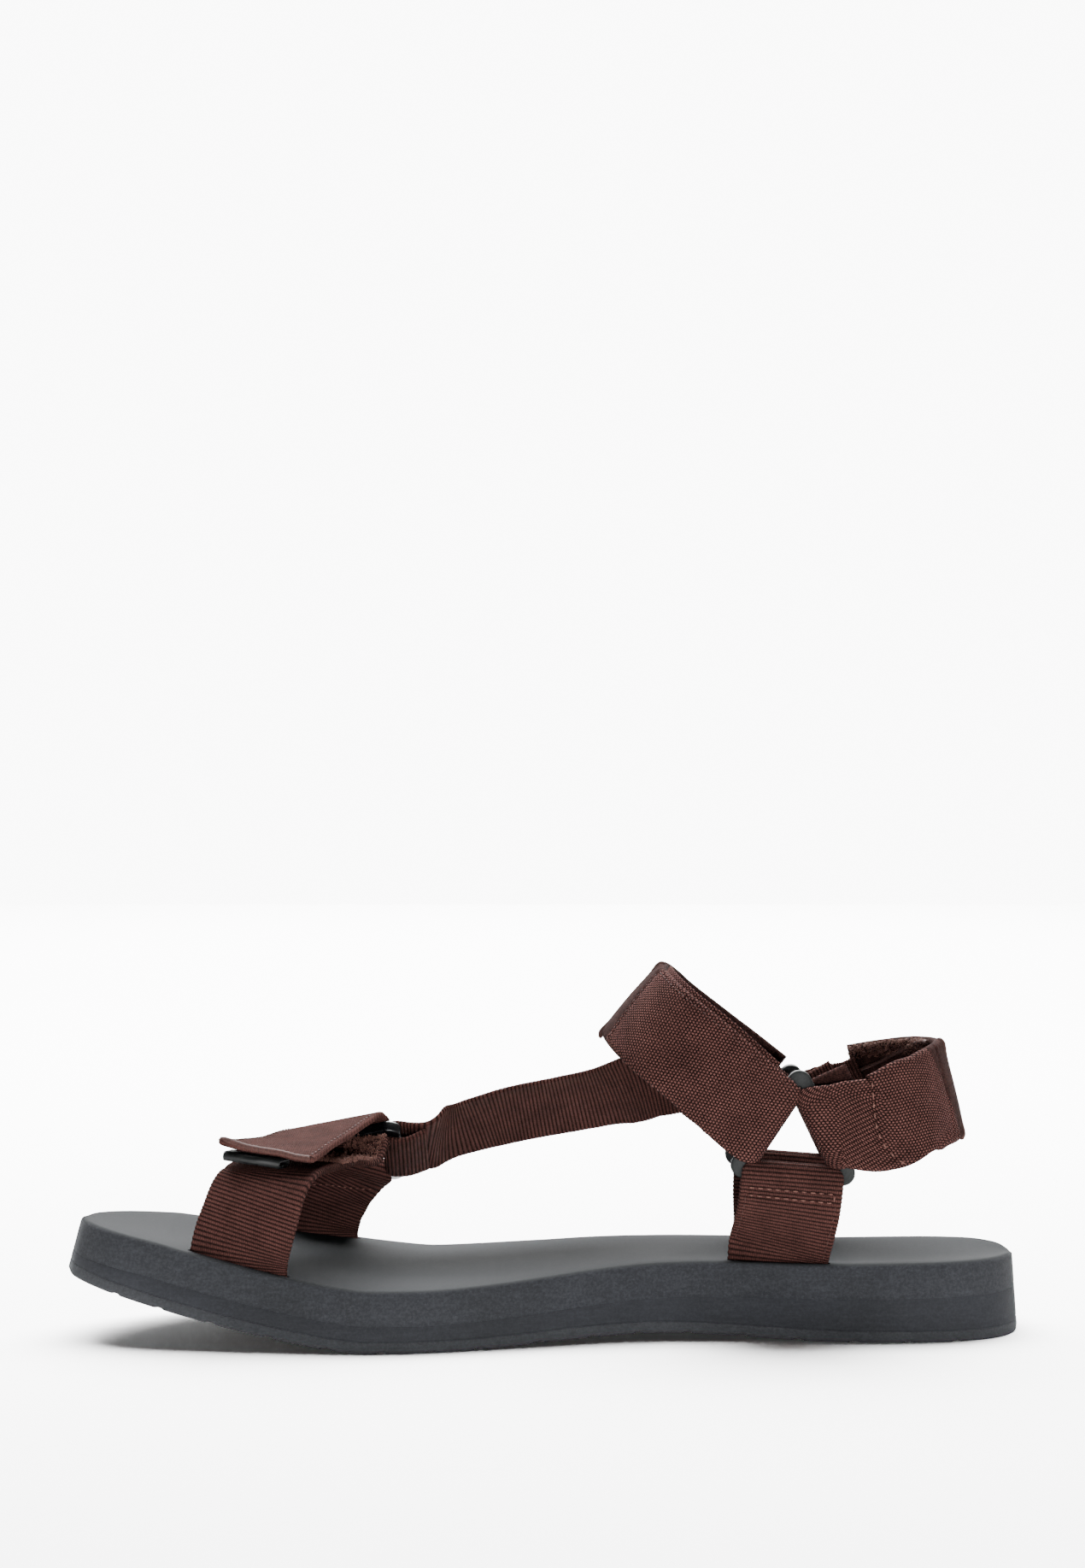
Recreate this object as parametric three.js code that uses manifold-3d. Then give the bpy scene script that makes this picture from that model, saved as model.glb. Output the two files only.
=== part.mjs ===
// Sport sandal, right shoe: layered foam sole, webbing legs, plastic triangle rings and padded straps.
// Millimetres, +Z up. The toe points to -X, the inner (medial) side faces -Y, the outer side +Y.
// The origin is on the floor under the middle of the sole.

import * as THREE from 'three';
import { mergeVertices } from 'three/addons/utils/BufferGeometryUtils.js';
import Module from 'manifold-3d';

const wasm = await Module();
wasm.setup();

// Sole
const soleLength = 284;
const ballWidth = 107;
const heelWidth = 65;
const toeSpring = 19.6;
const archLift = 2.3;
const ballThickness = 17.8;
const heelThickness = 23.6;
const toeThickness = 15.8;
const footbedThickness = 10.2;
const outsoleThickness = 3.3;
const toeFlare = 4.2;
const heelFlare = 1.6;
const sideFlare = 1.0;
const heelDish = 2.2;
const layerGap = 0.3;

// Tread
const lugDepth = 1.3;
const grooveWidth = 2.6;
const lugPitch = 15.5;
const zigzagPitch = 18;
const zigzagReach = 2.2;

// Straps
const webWidth = 30;
const webThickness = 1.6;
const padThickness = 3.2;
const tabThickness = 2.0;
const slotClearance = 0.35;
const fitGap = 0.3;

// Rings
const ringHole = 28;
const ringBar = 4;
const ringThickness = 3.6;
const ringEdge = 0.9;
const ringHoleRadius = 1;
const loopStep = 30;
const loopTail = 1.5;
const plyGap = 0.5;
const toeRingHole = 27;

// Heights above the floor
const innerRingHeight = 59.2;
const outerRingHeight = 55.8;
const toeRingHeight = 50;
const instepHeight = 110;
const heelStrapHeight = 86;
const toeStrapHeight = 61;

// Share of the web's width that the padded sleeves have
const ankleSleeveShare = 0.94;
const heelSleeveShare = 0.92;

// Pull loop under the free end of the toe strap
const pullLength = 18;
const pullShift = 4.2;
const pullDepth = 7.5;
const pullHeight = 2.9;
const pullWall = 0.9;
const pullGap = 0.5;

const materialOf = {
  web: () => new THREE.MeshStandardMaterial({ color: 0x49302b, roughness: 0.92, metalness: 0 }),
  sleeve: () => new THREE.MeshStandardMaterial({ color: 0x52342f, roughness: 0.9, metalness: 0 }),
  foam: () => new THREE.MeshStandardMaterial({ color: 0x44464a, roughness: 0.85, metalness: 0 }),
  footbed: () => new THREE.MeshStandardMaterial({ color: 0x5c5e60, roughness: 0.8, metalness: 0 }),
  rubber: () => new THREE.MeshStandardMaterial({ color: 0x3d3e40, roughness: 0.8, metalness: 0 }),
  ring: () => new THREE.MeshStandardMaterial({ color: 0x555c5a, roughness: 0.5, metalness: 0 }),
  blackRing: () => new THREE.MeshStandardMaterial({ color: 0x1b1c1f, roughness: 0.25, metalness: 0 }),
};

const sandal = new THREE.Group();
const vector = (x, y, z) => new THREE.Vector3(x, y, z);
const mix = (a, b, t) => a + (b - a) * t;
const radians = THREE.MathUtils.degToRad;

// Each piece is one mesh with a material of its own
function addPiece(name, geometry, materialName) {
  const mesh = new THREE.Mesh(geometry, materialOf[materialName]());
  mesh.name = name;
  sandal.add(mesh);
}

function geometryOf(points, triangles) {
  const geometry = new THREE.BufferGeometry();
  const flat = new Float32Array(points.length * 3);
  points.forEach((point, index) => point.toArray(flat, index * 3));
  geometry.setAttribute('position', new THREE.BufferAttribute(flat, 3));
  geometry.setIndex(triangles);
  return geometry;
}

// Turns a closed surface the right way out
function outward(points, triangles) {
  let volume = 0;
  for (let i = 0; i < triangles.length; i += 3) {
    const a = points[triangles[i]];
    const b = points[triangles[i + 1]];
    const c = points[triangles[i + 2]];
    volume += a.dot(vector(0, 0, 0).crossVectors(b, c));
  }
  if (volume < 0) {
    for (let i = 0; i < triangles.length; i += 3) {
      [triangles[i], triangles[i + 1]] = [triangles[i + 1], triangles[i]];
    }
  }
  return geometryOf(points, triangles);
}

function solidOf(geometry) {
  const bare = geometry.clone();
  bare.deleteAttribute('normal');
  bare.deleteAttribute('uv');
  const merged = mergeVertices(bare, 1e-4);
  return new wasm.Manifold(new wasm.Mesh({
    numProp: 3,
    vertProperties: new Float32Array(merged.attributes.position.array),
    triVerts: new Uint32Array(merged.index.array),
  }));
}

function geometryFromSolid(solid) {
  const mesh = solid.getMesh();
  const geometry = new THREE.BufferGeometry();
  geometry.setAttribute('position', new THREE.BufferAttribute(new Float32Array(mesh.vertProperties), 3));
  geometry.setIndex(Array.from(mesh.triVerts));
  return geometry;
}

// Straight-line lookup in a short table
function lookUp(rows, column, along) {
  let row = 0;
  while (row < rows.length - 2 && rows[row + 1].along < along) {
    row += 1;
  }
  const share = (along - rows[row].along) / (rows[row + 1].along - rows[row].along);
  return mix(rows[row][column], rows[row + 1][column], THREE.MathUtils.clamp(share, 0, 1));
}

// Plan outline of the sole. along: share of the length from the toe tip.
// inner and outer: reach from the middle line, in shares of half the ball width up to the waist (part
// ball) and of half the heel width behind it (part heel).
const outlineRows = [
  { along: 0.000, inner: 0.30, outer: -0.30, part: 'ball' },
  { along: 0.010, inner: 0.50, outer: -0.04, part: 'ball' },
  { along: 0.040, inner: 0.67, outer: 0.26, part: 'ball' },
  { along: 0.090, inner: 0.79, outer: 0.52, part: 'ball' },
  { along: 0.150, inner: 0.87, outer: 0.72, part: 'ball' },
  { along: 0.225, inner: 0.94, outer: 0.89, part: 'ball' },
  { along: 0.300, inner: 1.00, outer: 0.99, part: 'ball' },
  { along: 0.370, inner: 0.97, outer: 1.00, part: 'ball' },
  { along: 0.450, inner: 0.84, outer: 0.97, part: 'ball' },
  { along: 0.530, inner: 0.67, outer: 0.87, part: 'ball' },
  { along: 0.610, inner: 0.88, outer: 1.23, part: 'heel' },
  { along: 0.690, inner: 0.86, outer: 1.09, part: 'heel' },
  { along: 0.780, inner: 0.95, outer: 1.02, part: 'heel' },
  { along: 0.870, inner: 1.00, outer: 1.00, part: 'heel' },
  { along: 0.930, inner: 0.91, outer: 0.95, part: 'heel' },
  { along: 0.970, inner: 0.70, outer: 0.79, part: 'heel' },
  { along: 0.992, inner: 0.37, outer: 0.46, part: 'heel' },
  { along: 1.000, inner: 0.00, outer: 0.00, part: 'heel' },
];

function outlineSide(column, sign) {
  const half = { ball: ballWidth / 2, heel: heelWidth / 2 };
  const reach = (row) => sign * row[column] * half[row.part];
  const points = outlineRows.map((row) => vector((row.along - 0.5) * soleLength, reach(row), 0));
  return new THREE.CatmullRomCurve3(points, false, 'centripetal').getPoints(360);
}
const innerSide = outlineSide('inner', -1);
const outerSide = outlineSide('outer', 1);

function reachAt(side, x) {
  let i = 0;
  while (i < side.length - 2 && side[i + 1].x < x) {
    i += 1;
  }
  const share = (x - side[i].x) / (side[i + 1].x - side[i].x);
  return mix(side[i].y, side[i + 1].y, THREE.MathUtils.clamp(share, 0, 1));
}

// Heights of the sole's surfaces
const breakLine = -0.157;
const breakSlant = 0.14;
const springPower = 1.35;
const archStart = -0.12;
const archEnd = 0.33;

function floorZ(x, y) {
  const start = breakLine * soleLength + breakSlant * y;
  const rise = Math.max(0, (start - x) / (start + soleLength / 2));
  const arch = (x / soleLength - archStart) / (archEnd - archStart);
  const vault = arch > 0 && arch < 1 ? archLift * Math.sin(Math.PI * arch) ** 2 : 0;
  return toeSpring * rise ** springPower + vault;
}

// Whole thickness of the sole. share: how far it goes from the ball's thickness to the heel's
const thicknessRows = [
  { along: 0.00, share: 0.00 },
  { along: 0.38, share: 0.00 },
  { along: 0.50, share: 0.17 },
  { along: 0.61, share: 0.42 },
  { along: 0.70, share: 0.66 },
  { along: 0.80, share: 0.84 },
  { along: 1.00, share: 1.00 },
];
const toeThinning = 0.09;

function soleThickness(x) {
  const along = x / soleLength + 0.5;
  const body = mix(ballThickness, heelThickness, lookUp(thicknessRows, 'share', along));
  const nearToe = Math.max(0, 1 - along / toeThinning);
  return body - (ballThickness - toeThickness) * nearToe;
}

const footbedShare = 0.92;
function footbedLowerZ(x, y) {
  const thickness = footbedThickness * mix(footbedShare, 1, Math.min(1, x / soleLength + 1));
  return floorZ(x, y) + soleThickness(x) - thickness;
}

// Dish of the footbed: deepest under the heel, faint under the ball
const dishRows = [
  { along: 0.00, depth: 0.00 },
  { along: 0.12, depth: 0.35 },
  { along: 0.45, depth: 0.30 },
  { along: 0.65, depth: 0.70 },
  { along: 0.85, depth: 1.00 },
  { along: 1.00, depth: 0.40 },
];
const dishRim = 0.9;

function topZ(x, y) {
  const inner = reachAt(innerSide, x);
  const outer = reachAt(outerSide, x);
  const across = (2 * y - inner - outer) / Math.max(1, outer - inner);
  const bowl = Math.max(0, 1 - (across / dishRim) ** 2) ** 1.5;
  const depth = heelDish * lookUp(dishRows, 'depth', x / soleLength + 0.5);
  return floorZ(x, y) + soleThickness(x) - depth * bowl;
}

// The sides lean in towards the top: most at the toe, a little at the heel and along the sides
function leaned(x, y, height) {
  const flare = x < 0 ? toeFlare : heelFlare;
  return [x * (1 - (2 * flare * height) / soleLength), y * (1 - (2 * sideFlare * height) / ballWidth)];
}

// One layer of the sole between two height functions. crossShares: where the points lie across it
const dishedShares = [0, 0.05, 0.2, 0.35, 0.5, 0.65, 0.8, 0.95, 1];
const plainShares = [0, 0.5, 1];
const stationPitch = 7.5;
const soleStations = Math.round(soleLength / stationPitch);

function soleLayer(lower, upper, crossShares) {
  const points = [];
  const triangles = [];
  const surface = (heightOf) => {
    const grid = [];
    for (let i = 0; i <= soleStations; i += 1) {
      const x = -(soleLength / 2) * Math.cos((Math.PI * i) / soleStations);
      const inner = reachAt(innerSide, x);
      const outer = reachAt(outerSide, x);
      const row = [];
      const single = i === 0 || i === soleStations;
      for (const share of crossShares) {
        if (single && row.length) {
          row.push(row[0]);
          continue;
        }
        const y = mix(inner, outer, single ? 0.5 : share);
        const z = heightOf(x, y);
        const height = (z - floorZ(x, y)) / soleThickness(x);
        const [sx, sy] = leaned(x, y, height);
        row.push(points.push(vector(sx, sy, z)) - 1);
      }
      grid.push(row);
    }
    return grid;
  };
  const low = surface(lower);
  const high = surface(upper);
  const face = (a, b, c) => {
    if (a !== b && b !== c && a !== c) {
      triangles.push(a, b, c);
    }
  };
  const last = crossShares.length - 1;
  for (let i = 0; i < soleStations; i += 1) {
    for (let j = 0; j < last; j += 1) {
      face(high[i][j], high[i + 1][j], high[i + 1][j + 1]);
      face(high[i][j], high[i + 1][j + 1], high[i][j + 1]);
      face(low[i][j], low[i + 1][j + 1], low[i + 1][j]);
      face(low[i][j], low[i][j + 1], low[i + 1][j + 1]);
    }
    for (const j of [0, last]) {
      const ring = [low[i][j], low[i + 1][j], high[i + 1][j], high[i][j]];
      if (j === last) {
        ring.reverse();
      }
      face(ring[0], ring[1], ring[2]);
      face(ring[0], ring[2], ring[3]);
    }
  }
  return outward(points, triangles);
}

// Slots of the four legs in the footbed. along and across: the slot's middle, in shares of the sole's
// length and of half the ball width. turn: the slot's turn in plan, in degrees from the length
const slotRows = [
  { leg: 'toe_inner', along: 0.186, across: -0.790, turn: 15 },
  { leg: 'toe_outer', along: 0.243, across: 0.800, turn: -18 },
  { leg: 'ankle_inner', along: 0.741, across: -0.465, turn: 13 },
  { leg: 'ankle_outer', along: 0.757, across: 0.480, turn: -4 },
];

function slotOf(leg) {
  const row = slotRows.find((candidate) => candidate.leg === leg);
  const x = (row.along - 0.5) * soleLength;
  const y = (row.across * ballWidth) / 2;
  const width = vector(-Math.cos(radians(row.turn)), Math.sin(radians(row.turn)), 0);
  return { x, y, width, turn: radians(row.turn) };
}

function slotCutter(leg, thickness) {
  const slot = slotOf(leg);
  const tall = 4 * footbedThickness;
  const block = new THREE.BoxGeometry(webWidth + 2 * slotClearance, thickness + 2 * slotClearance, tall);
  block.rotateZ(-slot.turn);
  block.translate(slot.x, slot.y, topZ(slot.x, slot.y));
  return solidOf(block);
}

// Zigzag groove across the tread at one place along it
const grooveReach = 0.62;
function grooveCutter(x) {
  const points = [];
  const triangles = [];
  const reach = ballWidth * grooveReach;
  const steps = Math.ceil((2 * reach) / (zigzagPitch / 2));
  for (let i = 0; i <= steps; i += 1) {
    const y = mix(-reach, reach, i / steps);
    const middle = x + (i % 2 ? zigzagReach : -zigzagReach);
    for (const side of [-grooveWidth / 2, grooveWidth / 2]) {
      const edge = middle + side;
      points.push(vector(edge, y, floorZ(edge, y) - outsoleThickness));
      points.push(vector(edge, y, floorZ(edge, y) + lugDepth));
    }
  }
  for (let i = 0; i < steps; i += 1) {
    const a = 4 * i;
    const b = a + 4;
    const loop = [0, 1, 3, 2];
    loop.forEach((corner, k) => {
      const next = loop[(k + 1) % 4];
      triangles.push(a + corner, a + next, b + next, a + corner, b + next, b + corner);
    });
  }
  const end = 4 * steps;
  triangles.push(0, 2, 3, 0, 3, 1, end, end + 1, end + 3, end, end + 3, end + 2);
  return solidOf(outward(points, triangles));
}

function buildSole() {
  const outsoleTop = (x, y) => floorZ(x, y) + outsoleThickness;
  const midsoleLow = (x, y) => outsoleTop(x, y) + layerGap;
  const midsoleHigh = (x, y) => footbedLowerZ(x, y) - layerGap;
  let tread = solidOf(soleLayer(floorZ, outsoleTop, plainShares));
  const first = -soleLength / 2 + lugPitch;
  for (let x = first; x < soleLength / 2 - lugPitch / 2; x += lugPitch) {
    tread = tread.subtract(grooveCutter(x));
  }
  addPiece('outsole', geometryFromSolid(tread), 'rubber');
  addPiece('midsole', soleLayer(midsoleLow, midsoleHigh, plainShares), 'foam');
  let bed = solidOf(soleLayer(footbedLowerZ, topZ, dishedShares));
  bed = bed.subtract(slotCutter('toe_inner', tabThickness));
  for (const leg of ['toe_outer', 'ankle_inner', 'ankle_outer']) {
    bed = bed.subtract(slotCutter(leg, webThickness));
  }
  addPiece('footbed', geometryFromSolid(bed), 'footbed');
}

// A ring is a flat plastic triangle with round corners and one straight bar for each strap.
// centre: its middle. outwards: the side away from the foot. down: the in-plane way to its first bar
function makeRing(centre, outwards, down, hole) {
  const n = outwards.clone().normalize();
  const first = down.clone().addScaledVector(n, -down.dot(n)).normalize();
  const bars = [0, 1, 2].map((k) => {
    const o = first.clone().applyAxisAngle(n, (k * 2 * Math.PI) / 3);
    return { o, d: vector(0, 0, 0).crossVectors(n, o) };
  });
  return { centre, n, bars, hole, inner: hole / (2 * Math.sqrt(3)) };
}

function roundedTriangle(Path, side, offset, radius) {
  const path = new Path();
  const reach = side / Math.sqrt(3) + 2 * offset - 2 * radius;
  for (let k = 0; k < 3; k += 1) {
    const toCorner = Math.PI / 2 + (k * 2 * Math.PI) / 3;
    const x = reach * Math.cos(toCorner);
    const y = reach * Math.sin(toCorner);
    path.absarc(x, y, radius, toCorner - Math.PI / 3, toCorner + Math.PI / 3, false);
  }
  path.closePath();
  return path;
}

function ringGeometry(ring) {
  const shape = roundedTriangle(THREE.Shape, ring.hole, ringBar - ringEdge, ringBar - ringEdge);
  shape.holes.push(roundedTriangle(THREE.Path, ring.hole, ringEdge, ringEdge + ringHoleRadius));
  const geometry = new THREE.ExtrudeGeometry(shape, {
    depth: ringThickness - 2 * ringEdge,
    bevelThickness: ringEdge,
    bevelSize: ringEdge,
    bevelSegments: 1,
    curveSegments: 4,
  });
  geometry.translate(0, 0, -(ringThickness - 2 * ringEdge) / 2);
  const up = ring.bars[0].o.clone().negate();
  const side = vector(0, 0, 0).crossVectors(up, ring.n);
  geometry.applyMatrix4(new THREE.Matrix4().makeBasis(side, up, ring.n));
  geometry.translate(ring.centre.x, ring.centre.y, ring.centre.z);
  return geometryFromSolid(solidOf(geometry));
}

// How far from the middle of a ring's bar the middle of a strap lies: clear of the bar's bevelled
// corners also halfway between two stations of the loop
function loopRadius(thickness) {
  const corner = Math.hypot(ringThickness / 2, ringThickness / 2 - ringEdge);
  return (corner + fitGap) / Math.cos(radians(loopStep / 2)) + thickness / 2;
}

// Section stations of a strap round one bar of a ring: over the bar's outer face, through the hole and
// back under its inner face
function barLoop(ring, barIndex, thickness, halfWidth, widthSign) {
  const bar = ring.bars[barIndex];
  const radius = loopRadius(thickness);
  const hub = ringThickness / 2;
  const middle = ring.centre.clone().addScaledVector(bar.o, ring.inner + hub);
  const width = bar.d.clone().multiplyScalar(widthSign);
  const stations = [];
  const place = (along, off, degrees) => {
    const c = middle.clone().addScaledVector(bar.o, along).addScaledVector(ring.n, off);
    const inside = ring.inner + hub + along - thickness / 2;
    const inHole = degrees > 0 && degrees < 180;
    const hw = inHole ? Math.min(halfWidth, Math.sqrt(3) * inside - fitGap) : halfWidth;
    stations.push({ c, w: width.clone(), hw, ht: thickness / 2, sub: 1 });
  };
  place(ringBar - hub + loopTail, radius, 0);
  for (const degrees of [1, 30, 60, 90, 120, 150, 179]) {
    const a = radians(degrees);
    place(-radius * Math.sin(a), radius * Math.cos(a), degrees);
  }
  place(ringBar - hub + loopTail, -radius, 180);
  return stations;
}

// Ribbon through key stations. c: middle, w: way across, hw and ht: half width and half thickness,
// crown: bulge of the middle away from the edges, sub: pieces up to the next key
function ribbon(keys) {
  const middles = new THREE.CatmullRomCurve3(keys.map((key) => key.c), false, 'centripetal');
  const ways = keys.map((key) => key.w.clone().normalize());
  const stations = [];
  const spans = keys.length - 1;
  for (let i = 0; i < spans; i += 1) {
    const sub = keys[i].sub ?? 1;
    for (let j = 0; j < sub; j += 1) {
      const f = j / sub;
      stations.push({
        c: middles.getPoint((i + f) / spans),
        w: ways[i].clone().lerp(ways[i + 1], f).normalize(),
        hw: mix(keys[i].hw, keys[i + 1].hw, f),
        ht: mix(keys[i].ht, keys[i + 1].ht, f),
        crown: mix(keys[i].crown ?? 0, keys[i + 1].crown ?? 0, f),
      });
    }
  }
  const end = keys[spans];
  stations.push({ c: end.c, w: ways[spans], hw: end.hw, ht: end.ht, crown: end.crown ?? 0 });
  const points = [];
  const triangles = [];
  const edge = 0.5;
  const outlineOf = (station) => {
    const near = station.hw - 0.7 * station.ht;
    return [
      [-station.hw, edge, 0], [-near, 1, 0.1], [0, 1, 1], [near, 1, 0.1], [station.hw, edge, 0],
      [station.hw, -edge, 0], [near, -1, 0.1], [0, -1, 1], [-near, -1, 0.1], [-station.hw, -edge, 0],
    ];
  };
  stations.forEach((station, i) => {
    const before = stations[Math.max(0, i - 1)].c;
    const after = stations[Math.min(stations.length - 1, i + 1)].c;
    const tangent = after.clone().sub(before).normalize();
    const normal = vector(0, 0, 0).crossVectors(tangent, station.w).normalize();
    for (const [across, up, bulge] of outlineOf(station)) {
      const point = station.c.clone().addScaledVector(station.w, across);
      points.push(point.addScaledVector(normal, up * station.ht + bulge * station.crown));
    }
  });
  const size = outlineOf(stations[0]).length;
  const seam = size / 2;
  for (let i = 0; i < stations.length - 1; i += 1) {
    for (let k = 0; k < size; k += 1) {
      const a = i * size + k;
      const b = i * size + ((k + 1) % size);
      triangles.push(a, b, b + size, a, b + size, a + size);
    }
  }
  const lastRow = (stations.length - 1) * size;
  for (const [base, turned] of [[0, false], [lastRow, true]]) {
    for (let k = 0; k < seam - 1; k += 1) {
      const corners = [k, size - 1 - k, size - 2 - k, k + 1].map((corner) => base + corner);
      if (turned) {
        corners.reverse();
      }
      triangles.push(corners[0], corners[1], corners[2], corners[0], corners[2], corners[3]);
    }
  }
  return outward(points, triangles);
}

// Rows of a strap's free part. along: share of the sole's length from the toe tip. across: share of
// half the ball width, outer side positive. up: share of the strap's named height. w: the way across
// the strap. crown: bulge of its middle in mm. sub: pieces up to the next row
function rowKeys(rows, height, thickness) {
  return rows.map((row) => ({
    c: vector((row.along - 0.5) * soleLength, (row.across * ballWidth) / 2, row.up * height),
    w: vector(...row.w),
    hw: webWidth / 2,
    ht: thickness / 2,
    crown: row.crown ?? 0,
    sub: row.sub ?? 3,
  }));
}

// A leg starts in its slot, just above the midsole, and leaves square to the slope of the footbed
function slotKeys(leg, thickness) {
  const slot = slotOf(leg);
  const size = { hw: webWidth / 2, ht: thickness / 2 };
  const keyOn = (heightOf, lift, sub) => {
    const ends = [1, -1].map((side) => {
      const x = slot.x + (side * slot.width.x * webWidth) / 2;
      const y = slot.y + (side * slot.width.y * webWidth) / 2;
      return vector(x, y, heightOf(x, y));
    });
    const w = ends[0].clone().sub(ends[1]).normalize();
    const level = Math.max(heightOf(slot.x, slot.y), (ends[0].z + ends[1].z) / 2);
    return { c: vector(slot.x, slot.y, level + lift), w, ...size, sub };
  };
  return [keyOn(footbedLowerZ, layerGap, 1), keyOn(topZ, 2, 3)];
}

const ringPlace = {
  inner: { along: 0.757, across: -0.580, height: innerRingHeight },
  outer: { along: 0.762, across: 0.580, height: outerRingHeight },
  toe: { along: 0.302, across: 0.545, height: toeRingHeight },
};
const placeOf = (place) => vector((place.along - 0.5) * soleLength, (place.across * ballWidth) / 2, place.height);

// The ankle rings stand upright, first bar down. The toe ring lies on the slope of the foot, first bar
// to the heel, second outwards and down, third inwards and up
const innerRing = makeRing(placeOf(ringPlace.inner), vector(0, -1, 0.05), vector(-0.08, 0, -1), ringHole);
const outerRing = makeRing(placeOf(ringPlace.outer), vector(0, 1, 0.05), vector(-0.08, 0, -1), ringHole);
const toeRing = makeRing(placeOf(ringPlace.toe), vector(0.05, 0.52, 0.85), vector(1, 0, 0), toeRingHole);

// Middle of a ply that lies on the outer face of a ring, some way outwards from one bar
function plyPoint(ring, barIndex, outwards, thickness) {
  const reach = ring.inner + ringBar + outwards;
  const off = loopRadius(thickness);
  return ring.centre.clone().addScaledVector(ring.bars[barIndex].o, reach).addScaledVector(ring.n, off);
}

// End of a short ply that turns round a bar and lies behind the strap's outer ply
function innerPlyEnd(ring, barIndex, outwards, thickness) {
  const outer = plyPoint(ring, barIndex, outwards, thickness);
  return outer.addScaledVector(ring.n, -(thickness + plyGap));
}

// Where the two plies of a strap come together beside the bar that they turn round. side: 1 for the
// outer ply, -1 for the inner one. way: the way across the strap there
const sewnReach = 8;
const sewnLift = 1.2;
const sewnTurn = 0.35;
function sewnPly(ring, barIndex, thickness, side, way) {
  const reach = ring.inner + ringBar + sewnReach;
  const off = sewnLift + (side * (thickness + plyGap)) / 2;
  const c = ring.centre.clone().addScaledVector(ring.bars[barIndex].o, reach).addScaledVector(ring.n, off);
  return { c, w: way, hw: webWidth / 2, ht: thickness / 2, sub: 2 };
}

function buildRings() {
  addPiece('ankle_ring_inner', ringGeometry(innerRing), 'ring');
  addPiece('ankle_ring_outer', ringGeometry(outerRing), 'ring');
  addPiece('toe_ring', ringGeometry(toeRing), 'blackRing');
}

function buildToeStrap() {
  const width = -1;
  const half = webWidth / 2;
  const risingRows = [
    { along: 0.197, across: -0.790, up: 0.620, w: [-0.95, 0.30, 0.00] },
    { along: 0.208, across: -0.762, up: 0.765, w: [-0.93, 0.36, 0.02], sub: 2 },
    { along: 0.216, across: -0.700, up: 0.818, w: [-0.93, 0.37, 0.02], sub: 2 },
    { along: 0.229, across: -0.450, up: 0.836, w: [-0.93, 0.36, 0.04] },
    { along: 0.252, across: -0.090, up: 0.832, w: [-0.93, 0.36, 0.04] },
    { along: 0.270, across: 0.170, up: 0.822, w: [-0.92, 0.38, -0.05], sub: 2 },
  ];
  const flapRows = [
    { along: 0.264, across: 0.130, up: 0.966, w: [-0.93, 0.35, -0.15] },
    { along: 0.247, across: -0.170, up: 0.942, w: [-0.93, 0.35, -0.08], crown: 0.4 },
    { along: 0.229, across: -0.465, up: 0.935, w: [-0.93, 0.36, 0.02], crown: 0.4 },
    { along: 0.213, across: -0.730, up: 0.928, w: [-0.93, 0.35, 0.10] },
  ];
  const keys = [
    ...slotKeys('toe_inner', tabThickness),
    ...rowKeys(risingRows, toeStrapHeight, tabThickness),
    ...barLoop(toeRing, 2, tabThickness, half, width).reverse(),
    ...rowKeys(flapRows, toeStrapHeight, tabThickness),
  ];
  addPiece('toe_strap', ribbon(keys), 'web');

  // Pull loop: a folded strip under the front half of the free end
  const end = flapRows[flapRows.length - 1];
  const across = vector(...end.w).normalize();
  const inwards = vector(0, 0, 1).cross(across).normalize();
  if (inwards.y < 0) {
    inwards.negate();
  }
  const up = vector(0, 0, 0).crossVectors(across, inwards).normalize();
  if (up.z < 0) {
    up.negate();
  }
  const outer = new THREE.Shape();
  const r = pullHeight / 2;
  const straight = pullDepth / 2 - r;
  outer.absarc(straight, 0, r, -Math.PI / 2, Math.PI / 2, false);
  outer.absarc(-straight, 0, r, Math.PI / 2, (3 * Math.PI) / 2, false);
  outer.closePath();
  const bore = new THREE.Path();
  bore.absarc(straight, 0, r - pullWall, -Math.PI / 2, Math.PI / 2, false);
  bore.absarc(-straight, 0, r - pullWall, Math.PI / 2, (3 * Math.PI) / 2, false);
  bore.closePath();
  outer.holes.push(bore);
  const tube = new THREE.ExtrudeGeometry(outer, { depth: pullLength, bevelEnabled: false, curveSegments: 6 });
  tube.translate(0, 0, -pullLength / 2);
  const side = vector(0, 0, 0).crossVectors(up, across);
  tube.applyMatrix4(new THREE.Matrix4().makeBasis(side, up, across));
  const seat = rowKeys([end], toeStrapHeight, tabThickness)[0].c;
  seat.addScaledVector(across, pullShift).addScaledVector(inwards, pullDepth / 2 - pullWall);
  seat.addScaledVector(up, -(tabThickness / 2 + pullGap + pullHeight / 2));
  tube.translate(seat.x, seat.y, seat.z);
  addPiece('toe_pull_loop', geometryFromSolid(solidOf(tube)), 'blackRing');
}

function buildToeLegOuter() {
  const rows = [
    { along: 0.250, across: 0.828, up: 0.640, w: [-0.94, -0.33, 0.05] },
    { along: 0.262, across: 0.822, up: 0.800, w: [-0.90, -0.38, 0.15], sub: 2 },
  ];
  const returnRows = [
    { along: 0.265, across: 0.745, up: 0.740, w: [-0.92, -0.36, 0.15], sub: 2 },
    { along: 0.257, across: 0.768, up: 0.640, w: [-0.94, -0.33, 0.05] },
  ];
  const keys = [
    ...slotKeys('toe_outer', webThickness),
    ...rowKeys(rows, toeRingHeight, webThickness),
    ...barLoop(toeRing, 1, webThickness, webWidth / 2, 1),
    ...rowKeys(returnRows, toeRingHeight, webThickness),
  ];
  addPiece('toe_leg_outer', ribbon(keys), 'web');
}

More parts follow.
